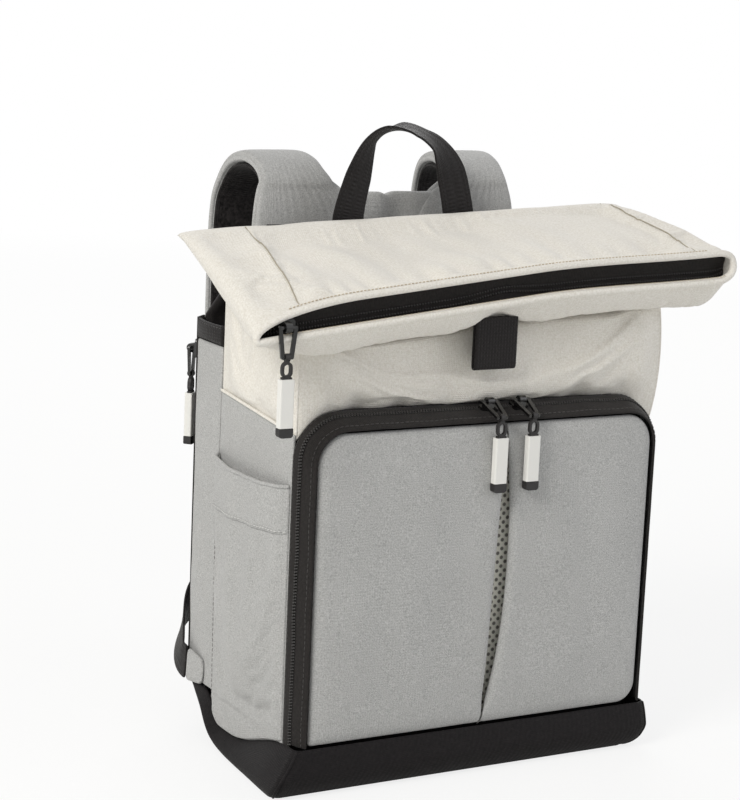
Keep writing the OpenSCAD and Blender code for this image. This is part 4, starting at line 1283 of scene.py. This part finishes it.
def yoke_fold(x):
    """Folds that gather towards the seam in the middle of the yoke."""
    fan = 1.6 * mm * (1 + math.sin(x / (5.5 * mm))) * math.exp(-(x / (26 * mm)) ** 2)
    return fan + 1 * mm + ripple((x, 3, 5), 34 * mm, 1 * mm)


yoke_mid, yoke_half = (yoke_lo.z + yoke_hi.z) / 2, yoke_hi.x - 11 * mm
yoke = ribbon(
    "yoke_pad",
    [
        Vector((x, back_face(yoke_mid) + yoke_fold(x), yoke_mid))
        for x in np.linspace(-yoke_half, yoke_half, 81)
    ],
    lambda t: (yoke_hi.z - yoke_lo.z) * (1 - 0.12 * math.exp(-((t - 0.5) / 0.02) ** 2)),
    0, 8 * mm, lambda t, way: (0, 0, 1),
)
dress(yoke, grey_heather, "bag", "heather_grey", "strap_yoke")

strap_root = [(-20.6, 341), (-19.6, 360)]
root_in, root_out = 26 * mm, 5 * mm
root_run = 0.3


def at_root(t):
    return 1 - smooth(0, root_run, t)


def strap_width(t):
    """A strap spreads at its root, most of all towards the yoke's middle, and narrows to the lock at its
    other end."""
    return mix(strap_w, strap_end_w, t) + (root_in + root_out) * at_root(t)


for s, side in both_sides:
    path = curve(
        [(s * strap_route[0][0] * mm, back_y + y * mm, z * mm) for y, z in strap_root]
        + [(s * x * mm, back_y + y * mm, strap_z(t)) for x, y, t in strap_route], 6,
    )

    def root_aside(t):
        return s * (root_out - root_in) / 2 * at_root(t)

    pad = ribbon(
        "strap_pad_" + side + "_cloth", path, strap_width,
        strap_mid - strap_t, strap_mid, level, power=5, aside=root_aside,
    )
    dress(pad, grey_heather, "bag", "heather_grey", "strap_pad_" + side)
    knit = ribbon(
        "strap_mesh_" + side + "_cloth", path, lambda t: strap_width(t) - 1 * mm,
        -strap_mid, mesh_t - strap_mid + 0.5 * mm, level, aside=root_aside,
    )
    dress(knit, black_air_mesh, "bag", "black_mesh", "strap_mesh_" + side)
    for edge_name, edge_side in (("inner", -1), ("outer", 1)):
        edge = [
            p + Vector((s * edge_side * (strap_width(t) / 2 - 0.5 * mm) + root_aside(t), 0, 0))
            for p, t in zip(path, np.linspace(0, 1, len(path)))
        ]
        binding = tube("strap_binding_{}_{}".format(side, edge_name), edge, 2 * mm)
        dress(binding, grey_heather, "bag", "heather_grey")

    lock_y = back_y + strap_route[-1][1] * mm
    lock_x = s * strap_route[-1][0] * mm
    tail = [Vector((lock_x, lock_y + turn_r, lock_h - tail_l * t)) for t in (1, 0.8, 0.6, 0.4, 0.2)]
    around = [
        Vector((lock_x, lock_y + turn_r * math.cos(a), lock_h + turn_r * math.sin(a)))
        for a in (math.radians(d) for d in range(0, 181, 20))
    ]
    down = curve([(s * x * mm, back_y + y * mm, t * lock_h) for x, y, t in web_route], 4)

    def web_flat(t, way):
        turn = smooth(0.5, 0.9, t)
        return way.cross(Vector((s * turn, 1 - turn, 0))) if turn else (1, 0, 0)

    web = ribbon(
        "strap_web_" + side + "_cloth", tail + around + down, lambda t: web_w,
        -web_t / 2, web_t / 2, web_flat, power=8,
    )
    dress(web, black_webbing, "bag", "black_webbing", "strap_web_" + side)
    root = Vector((s * tab_root[0] * mm, back_y + tab_root[1] * mm, tab_root[2] * mm))
    wing = [down[-1].lerp(root, t) for t in (0, 0.25, 0.5, 0.75, 1)]
    wing = ribbon(
        "strap_tab_" + side, wing, lambda t: mix(web_w, web_w * 0.7, t), -web_t / 2, web_t / 2,
        lambda t, way: (0, way.z, -way.y), power=8,
    )
    dress(wing, grey_heather, "bag", "heather_grey", *(["strap_tabs"] if s < 0 else []))

# Haul handle: one length of webbing whose flat legs are sewn to the back of the cream top. It is turned
# over between them, so that it stands on edge along the top of the loop.
handle_x, handle_rise, handle_tilt = 44 * mm, 68 * mm, 0.02
patch_lo, patch_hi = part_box("handle_patches")
handle_y, handle_z = patch_hi.y + 0.9 * mm, patch_hi.z + 0.9 * mm
loop = [
    (-1, 0), (-0.97, 0.2), (-0.83, 0.53), (-0.66, 0.82), (-0.42, 0.965), (0.05, 1), (0.42, 0.9), (0.64, 0.77),
    (0.83, 0.55), (0.97, 0.2), (1, 0),
]
loop_turn = [0, 8, 18, 40, 63, 108, 122, 146, 172, 177, 180]


def handle_turn(t):
    return math.radians(np.interp(t, np.linspace(0, 1, len(loop_turn)), loop_turn))


def handle_flat(t, way):
    rear = Vector((0, 1, 0))
    return rear.cross(way) * math.cos(handle_turn(t)) + rear * math.sin(handle_turn(t))


handle = ribbon(
    "haul_handle_webbing",
    curve([
        (x * handle_x, handle_y + handle_tilt * z * handle_rise, handle_z + z * handle_rise) for x, z in loop
    ], 8),
    lambda t: web_w, -web_t / 2, web_t / 2, handle_flat, power=8,
)
dress(handle, black_webbing, "handle", "black_webbing", "haul_handle")
for s, side in both_sides:
    patch = ribbon(
        "handle_patch_" + side,
        [
            Vector((s * handle_x, (patch_lo.y + patch_hi.y) / 2, mix(patch_lo.z, patch_hi.z, k / 6)))
            for k in range(7)
        ],
        lambda t: web_w, -web_t / 2, web_t / 2, level, power=8,
    )
    dress(patch, black_webbing, "bag", "black_webbing", *(["handle_patches"] if s < 0 else []))

# Metal and plastic: enamelled sliders with their wire bails, moulded pulls with a pale bar between
# dark ends, ladder locks, and the board in the base.
# Enamelled zinc: glossy black with sharp small lights.
black_enamel = plain("black_enamelled_zinc", "#0C0B0B", 0.22, coat=0.5)
# Soft moulded rubber: dull dark grey.
dark_rubber = plain("dark_rubber", "#232121", 0.6)
# Moulded ABS: pale and satin.
pale_abs = plain("pale_abs", "#E8E7E3", 0.38)
# Acetal: black with a waxy gloss.
black_acetal = plain("black_acetal", "#1B1919", 0.4)
# Polyethylene board: flat dark grey.
grey_board = plain("polyethylene_board", "#3A3938", 0.5)


def finish_node(node, material):
    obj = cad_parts[node]
    if not obj.data.materials:
        obj.data.materials.append(material)
    for i in range(len(obj.material_slots)):
        obj.material_slots[i].material = material


for place_name in ("front_left", "front_right", "mouth", "sleeve"):
    finish_node("slider_" + place_name, black_enamel)
    finish_node("bail_" + place_name, black_enamel)
    finish_node("pull_core_" + place_name, dark_rubber)
    finish_node("pull_bar_" + place_name, pale_abs)
for side in ("left", "right"):
    finish_node("ladder_lock_" + side, black_acetal)
finish_node("base_board", grey_board)

bpy.context.view_layer.update()
